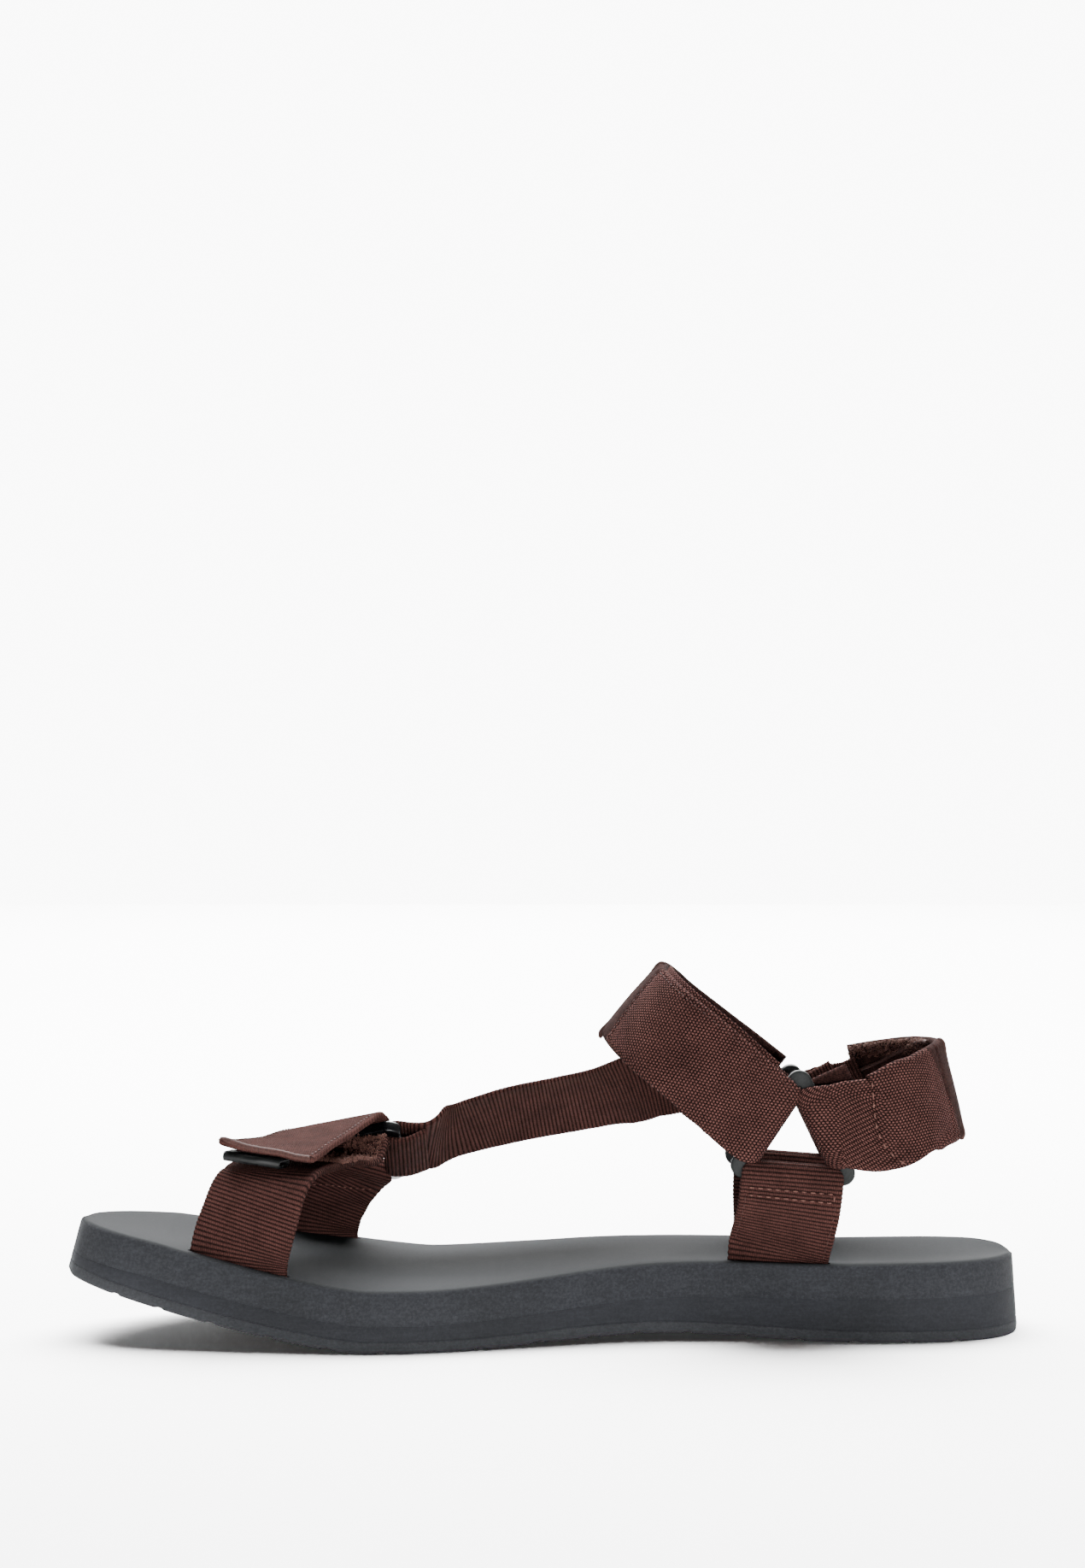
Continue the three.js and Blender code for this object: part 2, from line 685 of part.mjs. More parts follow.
function buildAnkleLegs() {
  const legs = [
    { name: 'ankle_leg_inner', slot: 'ankle_inner', ring: innerRing, sign: -1 },
    { name: 'ankle_leg_outer', slot: 'ankle_outer', ring: outerRing, sign: 1 },
  ];
  for (const leg of legs) {
    const base = slotOf(leg.slot);
    const start = plyPoint(leg.ring, 0, 6, webThickness);
    const level = (share) => {
      const foot = vector(base.x, base.y, topZ(base.x, base.y) + 2);
      return foot.lerp(start, share);
    };
    const size = { hw: webWidth / 2, ht: webThickness / 2 };
    const way = leg.ring.bars[0].d.clone().multiplyScalar(leg.sign);
    const blend = (share) => base.width.clone().lerp(way, share).normalize();
    const inwards = vector(0, -leg.sign, 0);
    const ply = webThickness + plyGap;
    const keys = [
      ...slotKeys(leg.slot, webThickness),
      { c: level(0.45), w: blend(0.5), ...size, sub: 3 },
      { c: level(0.85), w: blend(0.9), ...size, sub: 2 },
      ...barLoop(leg.ring, 0, webThickness, webWidth / 2, leg.sign),
      { c: level(0.85).addScaledVector(inwards, ply + fitGap), w: blend(0.9), ...size, sub: 2 },
      { c: level(0.45).addScaledVector(inwards, ply), w: blend(0.5), ...size, sub: 1 },
    ];
    addPiece(leg.name, ribbon(keys), 'web');
  }
}

function buildConnectingStrap() {
  const rows = [
    { along: 0.399, across: 0.635, up: 0.497, w: [-0.14, -0.81, 0.57], crown: -1.5 },
    { along: 0.451, across: 0.650, up: 0.540, w: [-0.15, -0.77, 0.62], crown: -2 },
    { along: 0.515, across: 0.655, up: 0.572, w: [-0.16, -0.76, 0.62], crown: -2 },
    { along: 0.568, across: 0.640, up: 0.598, w: [-0.17, -0.72, 0.67], crown: -1.5 },
    { along: 0.617, across: 0.572, up: 0.616, w: [-0.20, -0.42, 0.89], crown: -0.6 },
    { along: 0.660, across: 0.520, up: 0.632, w: [-0.22, 0.00, 0.97] },
  ];
  const loop = barLoop(toeRing, 0, webThickness, webWidth / 2, -1);
  const free = rowKeys(rows, instepHeight, webThickness);
  const way = loop[0].w.clone().lerp(free[0].w, sewnTurn);
  const [back, front] = [-1, 1].map((side) => sewnPly(toeRing, 0, webThickness, side, way));
  const keys = [back, ...loop.reverse(), front, ...free];
  addPiece('connecting_strap', ribbon(keys), 'web');
}

function buildAnkleStrap() {
  const rows = [
    { along: 0.660, across: -0.625, up: 0.742, w: [0.60, 0.00, 0.80], crown: -0.5 },
    { along: 0.619, across: -0.520, up: 0.826, w: [0.60, 0.03, 0.80], crown: -0.6 },
    { along: 0.599, across: -0.290, up: 0.872, w: [0.63, 0.02, 0.77], crown: -0.8 },
    { along: 0.594, across: 0.000, up: 0.889, w: [0.654, 0.00, 0.757], crown: -0.8 },
    { along: 0.599, across: 0.290, up: 0.872, w: [0.63, -0.02, 0.77], crown: -0.8 },
    { along: 0.618, across: 0.540, up: 0.820, w: [0.60, -0.03, 0.80], crown: -0.6 },
    { along: 0.660, across: 0.685, up: 0.737, w: [0.60, 0.00, 0.80], crown: -0.5 },
    { along: 0.698, across: 0.705, up: 0.664, w: [0.60, 0.00, 0.80] },
    { along: 0.731, across: 0.705, up: 0.598, w: [0.59, 0.00, 0.81] },
  ];
  const half = (webWidth * ankleSleeveShare) / 2;
  const tip = innerPlyEnd(innerRing, 2, 11, padThickness);
  const loop = barLoop(innerRing, 2, padThickness, half, -1);
  const keys = [
    { c: tip, w: loop[0].w.clone(), hw: half, ht: padThickness / 2, sub: 2 },
    ...loop.reverse(),
    ...rowKeys(rows, instepHeight, padThickness).map((key) => ({ ...key, hw: half })),
  ];
  addPiece('ankle_strap', ribbon(keys), 'sleeve');

  const tabRows = [
    { along: 0.690, across: 0.646, up: 0.640, w: [0.59, 0.00, 0.81] },
    { along: 0.655, across: 0.622, up: 0.712, w: [0.60, 0.00, 0.80] },
  ];
  const tabTip = innerPlyEnd(outerRing, 1, 9, tabThickness);
  const tabLoop = barLoop(outerRing, 1, tabThickness, webWidth / 2, 1);
  const tabKeys = [
    { c: tabTip, w: tabLoop[0].w.clone(), hw: webWidth / 2, ht: tabThickness / 2, sub: 2 },
    ...tabLoop.reverse(),
    ...rowKeys(tabRows, instepHeight, tabThickness),
  ];
  addPiece('ankle_tab', ribbon(tabKeys), 'web');
}

function buildHeelStrap() {
  const rows = [
    { along: 0.851, across: -0.640, up: 0.728, w: [-0.33, 0.00, 0.944], crown: 0.5 },
    { along: 0.880, across: -0.565, up: 0.800, w: [-0.27, 0.00, 0.96], crown: 0.6 },
    { along: 0.901, across: -0.420, up: 0.840, w: [-0.21, 0.00, 0.98], crown: 0.6 },
    { along: 0.919, across: -0.220, up: 0.842, w: [-0.22, 0.00, 0.975], crown: 0.6 },
    { along: 0.926, across: 0.000, up: 0.842, w: [-0.24, 0.00, 0.97], crown: 0.6 },
    { along: 0.919, across: 0.230, up: 0.838, w: [-0.22, 0.00, 0.975], crown: 0.6 },
    { along: 0.900, across: 0.450, up: 0.828, w: [-0.21, 0.00, 0.98], crown: 0.6 },
    { along: 0.872, across: 0.622, up: 0.808, w: [-0.28, 0.00, 0.96] },
    { along: 0.841, across: 0.704, up: 0.787, w: [-0.33, 0.00, 0.944] },
  ];
  const half = (webWidth * heelSleeveShare) / 2;
  const tip = innerPlyEnd(innerRing, 1, 11, padThickness);
  const loop = barLoop(innerRing, 1, padThickness, half, 1);
  const keys = [
    { c: tip, w: loop[0].w.clone(), hw: half, ht: padThickness / 2, sub: 2 },
    ...loop.reverse(),
    ...rowKeys(rows, heelStrapHeight, padThickness).map((key) => ({ ...key, hw: half })),
  ];
  addPiece('heel_strap', ribbon(keys), 'sleeve');

  const tabRows = [
    { along: 0.836, across: 0.648, up: 0.735, w: [-0.36, 0.00, 0.93] },
    { along: 0.857, across: 0.608, up: 0.765, w: [-0.33, 0.00, 0.944] },
  ];
  const tabTip = innerPlyEnd(outerRing, 2, 9, tabThickness);
  const tabLoop = barLoop(outerRing, 2, tabThickness, half, -1);
  const tabKeys = [
    { c: tabTip, w: tabLoop[0].w.clone(), hw: half, ht: tabThickness / 2, sub: 2 },
    ...tabLoop.reverse(),
    ...rowKeys(tabRows, heelStrapHeight, tabThickness).map((key) => ({ ...key, hw: half })),
  ];
  addPiece('heel_tab', ribbon(tabKeys), 'web');
}

buildSole();
buildRings();
buildToeStrap();
buildToeLegOuter();
buildAnkleLegs();
buildConnectingStrap();
buildAnkleStrap();
buildHeelStrap();

export default sandal;
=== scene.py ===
# %% [markdown]
# # A strap sandal with a layered foam sole
# This lesson dresses a plain solid model of one right sandal. The toe points to -X, the inner side of
# the foot faces -Y and the floor is at zero height. The solids are good for size and contact, but real
# webbing has ribs, real foam has sanded sides and a real sleeve is soft. Each step below says what one
# piece is on the real sandal, how it could be made, and why it is made this way here.

# %% Load the solid model
import bpy
import math
import numpy as np
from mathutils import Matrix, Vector


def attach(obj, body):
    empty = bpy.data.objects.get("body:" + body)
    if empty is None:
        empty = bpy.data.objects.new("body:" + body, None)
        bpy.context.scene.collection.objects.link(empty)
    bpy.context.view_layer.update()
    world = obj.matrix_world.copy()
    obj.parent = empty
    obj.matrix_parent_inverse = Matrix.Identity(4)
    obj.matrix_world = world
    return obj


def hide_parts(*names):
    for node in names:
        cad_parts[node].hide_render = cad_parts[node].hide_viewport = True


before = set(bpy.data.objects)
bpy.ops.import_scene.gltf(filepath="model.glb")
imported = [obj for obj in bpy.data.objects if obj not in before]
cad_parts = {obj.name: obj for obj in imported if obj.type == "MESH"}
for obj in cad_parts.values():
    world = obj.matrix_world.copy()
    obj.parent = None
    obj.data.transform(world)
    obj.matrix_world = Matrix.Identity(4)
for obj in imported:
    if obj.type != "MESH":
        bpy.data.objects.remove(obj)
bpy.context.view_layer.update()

# %% [markdown]
# ## Working units and small helpers
# A shoemaker thinks in millimetres and Blender works in metres, so every size below is in millimetres
# and is turned to metres only when a mesh gets its points. Three helpers do the rest: one starts every
# piece with nothing selected, one reads or moves all points of a mesh at once, and one finishes a piece.

# %% Helpers for meshes
MM = 0.001


def clear_selection():
    """Nothing stays selected, so that an operator acts on the new piece alone."""
    if bpy.context.object and bpy.context.object.mode != "OBJECT":
        bpy.ops.object.mode_set(mode="OBJECT")
    bpy.ops.object.select_all(action="DESELECT")


def points_of(piece):
    """All points of a mesh, in millimetres."""
    flat = np.empty(len(piece.data.vertices) * 3)
    piece.data.vertices.foreach_get("co", flat)
    return flat.reshape(-1, 3) / MM


def move_points(piece, points):
    """Puts all points of a mesh at new places, given in millimetres."""
    piece.data.vertices.foreach_set("co", (np.asarray(points, float) * MM).ravel())
    piece.data.update()


def use(piece):
    """Selects one piece alone and makes it the active one."""
    clear_selection()
    piece.select_set(True)
    bpy.context.view_layer.objects.active = piece
    return piece


def in_edit_mode(*steps):
    """Runs edit-mode operators on the whole of the active mesh."""
    bpy.ops.object.mode_set(mode="EDIT")
    bpy.ops.mesh.select_all(action="SELECT")
    for step in steps:
        step()
    bpy.ops.object.mode_set(mode="OBJECT")


def apply_all(piece):
    """Applies every modifier of a piece, in order."""
    use(piece)
    for modifier in list(piece.modifiers):
        bpy.ops.object.modifier_apply(modifier=modifier.name)


def finish_piece(piece, name, material, nodes=(), angle=None):
    """Names a piece, gives it its material and ties it to the solid model."""
    use(piece)
    piece.name = name
    piece.data.name = name
    if angle is None:
        bpy.ops.object.shade_smooth()
    else:
        bpy.ops.object.shade_smooth_by_angle(angle=math.radians(angle))
    piece.data.materials.clear()
    piece.data.materials.append(material)
    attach(piece, "root")
    if nodes:
        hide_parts(*nodes)
    print(name, "faces:", len(piece.data.polygons))
    return piece


# %% [markdown]
# ## Smooth lines through a few places
# Straps and outlines are drawn from short tables. A centripetal spline passes through every place of a
# table without the overshoot that an ordinary spline has where places lie unevenly.

# %% A spline through the rows of a table
def spline(rows, steps):
    """Smooth line through rows of numbers, with the given steps between two rows."""
    places = np.asarray(rows, float)
    far = np.vstack([2 * places[0] - places[1], places, 2 * places[-1] - places[-2]])
    t = np.linspace(0, 1, steps, endpoint=False)[:, None]
    parts = []
    for i in range(len(places) - 1):
        a, b, c, d = far[i:i + 4]
        ab, bc, cd = [max(np.linalg.norm(q - p) ** 0.5, 1e-4) for p, q in ((a, b), (b, c), (c, d))]
        leave = ((b - a) / ab - (c - a) / (ab + bc) + (c - b) / bc) * bc
        arrive = ((c - b) / bc - (d - b) / (bc + cd) + (d - c) / cd) * bc
        parts.append(b + leave * t + (3 * (c - b) - 2 * leave - arrive) * t**2 + (2 * (b - c) + leave + arrive) * t**3)
    return np.vstack(parts + [places[-1:]])


def unit(v):
    v = np.asarray(v, float)
    return v / np.linalg.norm(v)


def smooth_step(low, high, x):
    t = np.clip((x - low) / (high - low), 0, 1)
    return t * t * (3 - 2 * t)


# %% [markdown]
# ## The sole's outline and heights
# A sandal sole is a stack of three layers cut together: a thin rubber tread, a foam wedge that is thick
# under the heel, and a soft foam footbed. They share one outline and one set of heights, so these are
# written once. The outline is wide at the ball, has its waist on the inner side, and the toe lifts.

# %% Outline of the sole
SOLE = dict(length=284, ball_width=107, heel_width=65, toe_spring=19.6, arch_lift=2.3, ball=17.8, heel=23.6,
            toe=15.8, footbed=10.2, outsole=3.3, heel_dish=2.2, toe_flare=4.2, heel_flare=1.6, side_flare=1.0)
HALF = SOLE["length"] / 2
# share of the length from the toe tip, reach of the inner and the outer side in shares of half a width
OUTLINE = [
    (0.000, 0.30, -0.30, "ball"), (0.010, 0.50, -0.04, "ball"), (0.040, 0.67, 0.26, "ball"),
    (0.090, 0.79, 0.52, "ball"), (0.150, 0.87, 0.72, "ball"), (0.225, 0.94, 0.89, "ball"),
    (0.300, 1.00, 0.99, "ball"), (0.370, 0.97, 1.00, "ball"), (0.450, 0.84, 0.97, "ball"),
    (0.530, 0.67, 0.87, "ball"), (0.610, 0.88, 1.23, "heel"), (0.690, 0.86, 1.09, "heel"),
    (0.780, 0.95, 1.02, "heel"), (0.870, 1.00, 1.00, "heel"), (0.930, 0.91, 0.95, "heel"),
    (0.970, 0.70, 0.79, "heel"), (0.992, 0.37, 0.46, "heel"), (1.000, 0.00, 0.00, "heel"),
]


def outline_side(column, sign):
    half = {"ball": SOLE["ball_width"] / 2, "heel": SOLE["heel_width"] / 2}
    rows = [((r[0] - 0.5) * SOLE["length"], sign * r[column] * half[r[3]]) for r in OUTLINE]
    return spline(rows, 40)


INNER_SIDE, OUTER_SIDE = outline_side(1, -1), outline_side(2, 1)


def reach(x):
    """Y of the inner and outer side of the sole at x."""
    return np.interp(x, INNER_SIDE[:, 0], INNER_SIDE[:, 1]), np.interp(x, OUTER_SIDE[:, 0], OUTER_SIDE[:, 1])


# %% Heights of the sole
def floor_z(x, y):
    start = -0.157 * SOLE["length"] + 0.14 * y
    rise = np.maximum(0, (start - x) / (start + HALF))
    arch = (x / SOLE["length"] + 0.12) / 0.45
    vault = np.where((arch > 0) & (arch < 1), SOLE["arch_lift"] * np.sin(np.pi * arch) ** 2, 0)
    return SOLE["toe_spring"] * rise**1.35 + vault


def thickness(x):
    along = x / SOLE["length"] + 0.5
    share = np.interp(along, [0, 0.38, 0.50, 0.61, 0.70, 0.80, 1.0], [0, 0, 0.17, 0.42, 0.66, 0.84, 1])
    thin = np.maximum(0, 1 - along / 0.09) * (SOLE["ball"] - SOLE["toe"])
    return SOLE["ball"] + (SOLE["heel"] - SOLE["ball"]) * share - thin


def footbed_low(x, y):
    share = 0.92 + 0.08 * np.minimum(1, x / SOLE["length"] + 1)
    return floor_z(x, y) + thickness(x) - SOLE["footbed"] * share


def footbed_top(x, y):
    inner, outer = reach(x)
    across = (2 * y - inner - outer) / np.maximum(1, outer - inner)
    bowl = np.maximum(0, 1 - (across / 0.9) ** 2) ** 1.5
    depth = SOLE["heel_dish"] * np.interp(x / SOLE["length"] + 0.5, [0, 0.12, 0.45, 0.65, 0.85, 1], [0, 0.35, 0.3, 0.7, 1, 0.4])
    return floor_z(x, y) + thickness(x) - depth * bowl


def outsole_top(x, y):
    return floor_z(x, y) + SOLE["outsole"]


print("ball", round(float(np.subtract(*reach(-45.0)[::-1])), 1), "mm wide, heel top at", round(float(footbed_top(110.0, 0.0)), 1))

# %% [markdown]
# ## Building one layer of the sole
# A layer could be a scaled cube, but its outline is free and its top is dished. So it starts as a flat
# grid, the grid is fitted to the outline as the layer's underside, and its faces are extruded upwards
# once for each level of the side wall. Every point keeps its station number while it is extruded, so the
# new level can be put at its own height and drawn in a little for the rounded edge. Near the toe tip and
# the heel tip the stations lie closer together, because the outline turns quickly there.

# %% Place of a layer's points
def plan_point(i, j, inset, stations, shares):
    """Plan place of station i along and share j across, drawn in from the edge by inset."""
    x = -HALF * np.cos(np.pi * i / stations)
    step = 0.35
    sides = []
    for line, turn in ((INNER_SIDE, -1), (OUTER_SIDE, 1)):
        y = np.interp(x, line[:, 0], line[:, 1])
        angle = np.pi * i / stations
        ahead, behind = np.minimum(angle + 0.01, np.pi), np.maximum(angle - 0.01, 0)
        xa, xb = -HALF * np.cos(ahead), -HALF * np.cos(behind)
        ya, yb = np.interp(xa, line[:, 0], line[:, 1]), np.interp(xb, line[:, 0], line[:, 1])
        run, rise = xa - xb, ya - yb
        size = np.maximum(np.hypot(run, rise), 1e-9)
        nx, ny = -rise / size * turn, run / size * turn
        at_end = (i == 0) | (i == stations)
        nx = np.where(at_end, np.where(i == 0, -1.0, 1.0), nx)
        ny = np.where(at_end, 0.0, ny)
        sides.append((x - nx * inset, y - ny * inset))
    (xi, yi), (xo, yo) = sides
    share = shares[j]
    return xi + (xo - xi) * share, yi + (yo - yi) * share


def lean(x, y, z):
    """The sides of the sole lean in towards the top."""
    height = (z - floor_z(x, y)) / thickness(x)
    flare = np.where(x < 0, SOLE["toe_flare"], SOLE["heel_flare"])
    return np.stack([x * (1 - 2 * flare * height / SOLE["length"]), y * (1 - 2 * SOLE["side_flare"] * height / SOLE["ball_width"]), z], -1)


# %% Extruding a layer level by level
def sole_layer(levels, stations=260, across=44):
    """levels: (height function, inset) from the underside to the top surface."""
    clear_selection()
    bpy.ops.mesh.primitive_grid_add(x_subdivisions=stations, y_subdivisions=across, size=1, location=(0, 0, 0))
    piece = bpy.context.object
    flat = points_of(piece) * MM
    i = np.rint((flat[:, 0] + 0.5) * stations).astype(int)
    j = np.rint((flat[:, 1] + 0.5) * across).astype(int)
    piece.data.attributes.new("station", "INT", "POINT").data.foreach_set("value", i * 1000 + j)
    t = np.linspace(0, 1, across + 1)
    shares = t - 0.10 * np.sin(2 * np.pi * t) / np.pi * 2

    def place(chosen, height, inset):
        code = np.empty(len(piece.data.vertices), int)
        piece.data.attributes["station"].data.foreach_get("value", code)
        x, y = plan_point(code // 1000, code % 1000, inset, stations, shares)
        points = points_of(piece)
        points[chosen] = lean(x, y, height(x, y))[chosen]
        move_points(piece, points)

    place(np.ones(len(flat), bool), *levels[0])
    bpy.ops.object.mode_set(mode="EDIT")
    bpy.ops.mesh.select_all(action="SELECT")
    for height, inset in levels[1:]:
        bpy.ops.mesh.extrude_region_move(TRANSFORM_OT_translate={"value": (0, 0, MM)})
        bpy.ops.object.mode_set(mode="OBJECT")
        chosen = np.empty(len(piece.data.vertices), bool)
        piece.data.vertices.foreach_get("select", chosen)
        place(chosen, height, inset)
        bpy.ops.object.mode_set(mode="EDIT")
    bpy.ops.mesh.select_all(action="SELECT")
    bpy.ops.mesh.remove_doubles(threshold=0.00001)
    bpy.ops.mesh.normals_make_consistent(inside=False)
    bpy.ops.object.mode_set(mode="OBJECT")
    return piece


def between(low, high, share):
    return lambda x, y: low(x, y) + (high(x, y) - low(x, y)) * share


def below(surface, drop):
    return lambda x, y: surface(x, y) - drop


# %% [markdown]
# ## Materials: a small kit
# Every surface gets a procedural material.

# %% A kit for shader recipes
class Recipe:
    """A material under construction."""

    def __init__(self, name):
        self.material = bpy.data.materials.new(name)
        self.material.use_nodes = True
        self.tree = self.material.node_tree
        self.tree.nodes.clear()
        self.shader = self.tree.nodes.new("ShaderNodeBsdfPrincipled")
        out = self.tree.nodes.new("ShaderNodeOutputMaterial")
        self.tree.links.new(self.shader.outputs["BSDF"], out.inputs["Surface"])

    def feed(self, socket, value):
        if isinstance(value, bpy.types.NodeSocket):
            self.tree.links.new(value, socket)
        elif value is not None:
            socket.default_value = value

    def node(self, kind, out=0, settings=(), **inputs):
        node = self.tree.nodes.new("ShaderNode" + kind)
        for key, value in dict(settings).items():
            setattr(node, key, value)
        for key, value in inputs.items():
            self.feed(node.inputs[key.replace("_", " ")], value)
        return node.outputs[out]

    def maths(self, operation, a, b=None):
        node = self.tree.nodes.new("ShaderNodeMath")
        node.operation = operation
        self.feed(node.inputs[0], a)
        self.feed(node.inputs[1], b)
        return node.outputs[0]

    def wave(self, along, pitch, power=1.0):
        """Height from 0 to 1 that rises and falls once every pitch."""
        turned = self.maths("MULTIPLY", along, math.pi / pitch)
        height = self.maths("ABSOLUTE", self.maths("SINE", turned))
        return self.maths("POWER", height, power)

    def noise(self, place, scale, detail=3.0, roughness=0.55):
        return self.node("TexNoise", Vector=place, Scale=scale, Detail=detail, Roughness=roughness)

    def ramp(self, value, low, high, a=0.0, b=1.0):
        node = self.tree.nodes.new("ShaderNodeMapRange")
        for socket, v in zip(node.inputs[:5], (value, low, high, a, b)):
            self.feed(socket, v)
        return node.outputs[0]

    def blend(self, share, a, b, mode="MIX"):
        node = self.tree.nodes.new("ShaderNodeMix")
        node.data_type = "RGBA"
        node.blend_type = mode
        self.feed(node.inputs[0], share)
        self.feed(node.inputs[6], a)
        self.feed(node.inputs[7], b)
        return node.outputs[2]

    def bump(self, height, distance, strength=1.0, below=None):
        return self.node("Bump", Height=height, Distance=distance * MM, Strength=strength, Normal=below)

    def done(self, colour=None, roughness=None, normal=None, **constants):
        self.feed(self.shader.inputs["Base Color"], colour)
        self.feed(self.shader.inputs["Roughness"], roughness)
        self.feed(self.shader.inputs["Normal"], normal)
        for key, value in constants.items():
            self.shader.inputs[key.replace("_", " ")].default_value = value
        return self.material


def tone(red, green, blue):
    """Screen colour from 0 to 255 as the linear colour that a shader takes."""
    part = lambda v: v / 3294.6 if v <= 10.3 else ((v / 255 + 0.055) / 1.055) ** 2.4
    return (part(red), part(green), part(blue), 1.0)


# %% [markdown]
# ## Foam and rubber
# The sole's sides are closed-cell foam that was cut and then sanded, so they are matt, a little cloudy
# and full of faint scratches that run along the sole. The footbed's top is moulded: finer, and slightly
# silky where the light grazes it. The tread is rubber, darker and denser. All three read Object
# coordinates, so the pattern lies fixed in the piece.

# %% Foam and rubber materials
def foam_material(name, dark, light, scratch, grain, roughness, spec=0.2):
    make = Recipe(name)
    place = make.node("TexCoord", out=3)
    cloud = make.noise(place, 38, 5, 0.6)
    speck = make.noise(place, 2000, 2, 0.6)
    stretched = make.node("Mapping", Vector=place, Scale=(90, 300, 900))
    scratches = make.noise(stretched, 1.0, 5, 0.75)
    grit = make.noise(place, 1200, 3, 0.7)
    colour = make.blend(make.ramp(cloud, 0.3, 0.7), dark, light)
    colour = make.blend(make.maths("MULTIPLY", make.ramp(grit, 0.42, 0.62, 1.0, 0.0), 0.5 * grain), colour, tone(9, 9, 10))
    colour = make.blend(make.maths("MULTIPLY", make.ramp(scratches, 0.5, 0.9), 0.3 * scratch), colour, tone(52, 54, 57))
    colour = make.blend(make.maths("MULTIPLY", make.ramp(speck, 0.62, 0.85), 0.35 * grain), colour, tone(70, 72, 76))
    normal = make.bump(scratches, 0.10 * scratch)
    normal = make.bump(speck, 0.10 * grain, below=normal)
    rough = make.ramp(cloud, 0.2, 0.8, roughness - 0.06, roughness + 0.06)
    return make.done(colour, rough, normal, Specular_IOR_Level=spec)


side_foam = foam_material("sanded_side_foam", tone(29, 30, 32), tone(35, 36, 39), 0.8, 0.7, 0.9, 0.05)
wedge_foam = foam_material("smoother_wedge_foam", tone(27, 28, 30), tone(32, 33, 36), 0.6, 0.4, 0.9, 0.05)
top_foam = foam_material("moulded_top_foam", tone(28, 29, 30), tone(33, 34, 35), 0.1, 0.3, 0.86, 0.018)
tread_rubber = foam_material("tread_rubber", tone(34, 35, 37), tone(42, 43, 45), 0.4, 0.5, 0.85, 0.05)
print("foam and rubber materials are ready")

# %% [markdown]
# ## The rubber tread
# The tread could be cut with groove-shaped blocks, but a moulded groove has soft walls. Here the height
# of the underside is a function: it is lifted where a zigzag groove runs across. The lowest wall levels
# follow the same function, so each groove also shows as a small notch along the side.

# %% Tread
def groove(x, y):
    """1 in the middle of a groove, 0 on a lug."""
    zig = 4.4 * np.abs(((y / 18) % 1) * 2 - 1) - 2.2
    from_middle = np.abs((x + 126.5 - zig + 7.75) % 15.5 - 7.75)
    ends = smooth_step(-140, -136, x) * (1 - smooth_step(130, 134, x))
    return (1 - smooth_step(0.7, 1.7, from_middle)) * ends


def tread_low(x, y):
    inner, outer = reach(x)
    from_edge = np.minimum(y - inner, outer - y)
    return floor_z(x, y) + (0.4 + 0.9 * smooth_step(0.5, 5, from_edge)) * groove(x, y)


tread = sole_layer(
    [(tread_low, 0.5), (between(tread_low, outsole_top, 0.12), 0.1), (between(tread_low, outsole_top, 0.3), 0.0),
     (between(tread_low, outsole_top, 0.9), 0.0), (below(outsole_top, 0.05), 0.12)], stations=620, across=36)
finish_piece(tread, "tread_layer", tread_rubber, ["outsole"], angle=40)

# %% [markdown]
# ## The foam wedge and the footbed
# The wedge is thin under the ball and thick under the heel. A fine line shows where the layers are glued:
# each layer's edge is drawn in by a fraction of a millimetre there. The footbed's top edge is rounded by
# sanding, so its last wall levels draw in along a quarter circle. Its four slots are cut afterwards, with
# blocks that a Boolean modifier takes away.

# %% Wedge
wedge_low, wedge_high = below(outsole_top, -0.02), below(footbed_low, 0.02)
wedge = sole_layer([(wedge_low, 0.12), (between(wedge_low, wedge_high, 0.05), 0.02), (between(wedge_low, wedge_high, 0.5), 0.0),
                    (between(wedge_low, wedge_high, 0.95), 0.02), (wedge_high, 0.12)], across=24)
finish_piece(wedge, "foam_wedge", wedge_foam, ["midsole"], angle=40)

# %% Footbed
EDGE = 1.5
rounding = [(below(footbed_top, EDGE * (1 - math.sin(a))), EDGE * (1 - math.cos(a))) for a in np.radians([0, 25, 45, 65, 90])]
footbed = sole_layer([(footbed_low, 0.12), (below(footbed_low, -0.35), 0.0), (between(footbed_low, footbed_top, 0.5), 0.0)] + rounding)
# slot: share of the length, share of half the ball width, turn in degrees
SLOTS = {"toe_inner": (0.186, -0.790, 15), "toe_outer": (0.243, 0.800, -18),
         "ankle_inner": (0.741, -0.465, 13), "ankle_outer": (0.757, 0.480, -4)}
for along, across, turn in SLOTS.values():
    x, y = (along - 0.5) * SOLE["length"], across * SOLE["ball_width"] / 2
    clear_selection()
    bpy.ops.mesh.primitive_cube_add(size=1, location=(x * MM, y * MM, float(footbed_top(x, y)) * MM), rotation=(0, 0, -math.radians(turn)),
                                    scale=(0.0309, 0.0026, 0.041))
    block = bpy.context.object
    cut = footbed.modifiers.new("slot", "BOOLEAN")
    cut.object, cut.operation, cut.solver = block, "DIFFERENCE", "EXACT"
    apply_all(footbed)
    bpy.data.objects.remove(block)
finish_piece(footbed, "footbed_layer", side_foam, ["footbed"], angle=40)
footbed.data.materials.append(top_foam)
normals = np.empty(len(footbed.data.polygons) * 3)
footbed.data.polygons.foreach_get("normal", normals)
footbed.data.polygons.foreach_set("material_index", (normals.reshape(-1, 3)[:, 2] > 0.72).astype(int))

# %% [markdown]
# ## Plastic rings
# Each strap joint is a moulded triangular ring: one straight bar for each strap and round corners. It
# could be cut from a prism, but a torus is already one closed ring of even section. So it starts as a
# torus, its path is pulled to a triangle with round corners, and its section is flattened to a bar that
# is a little wider than thick and has soft edges.

# %% Ring frames
RING = dict(hole=28, toe_hole=27, bar=4, thickness=3.6)


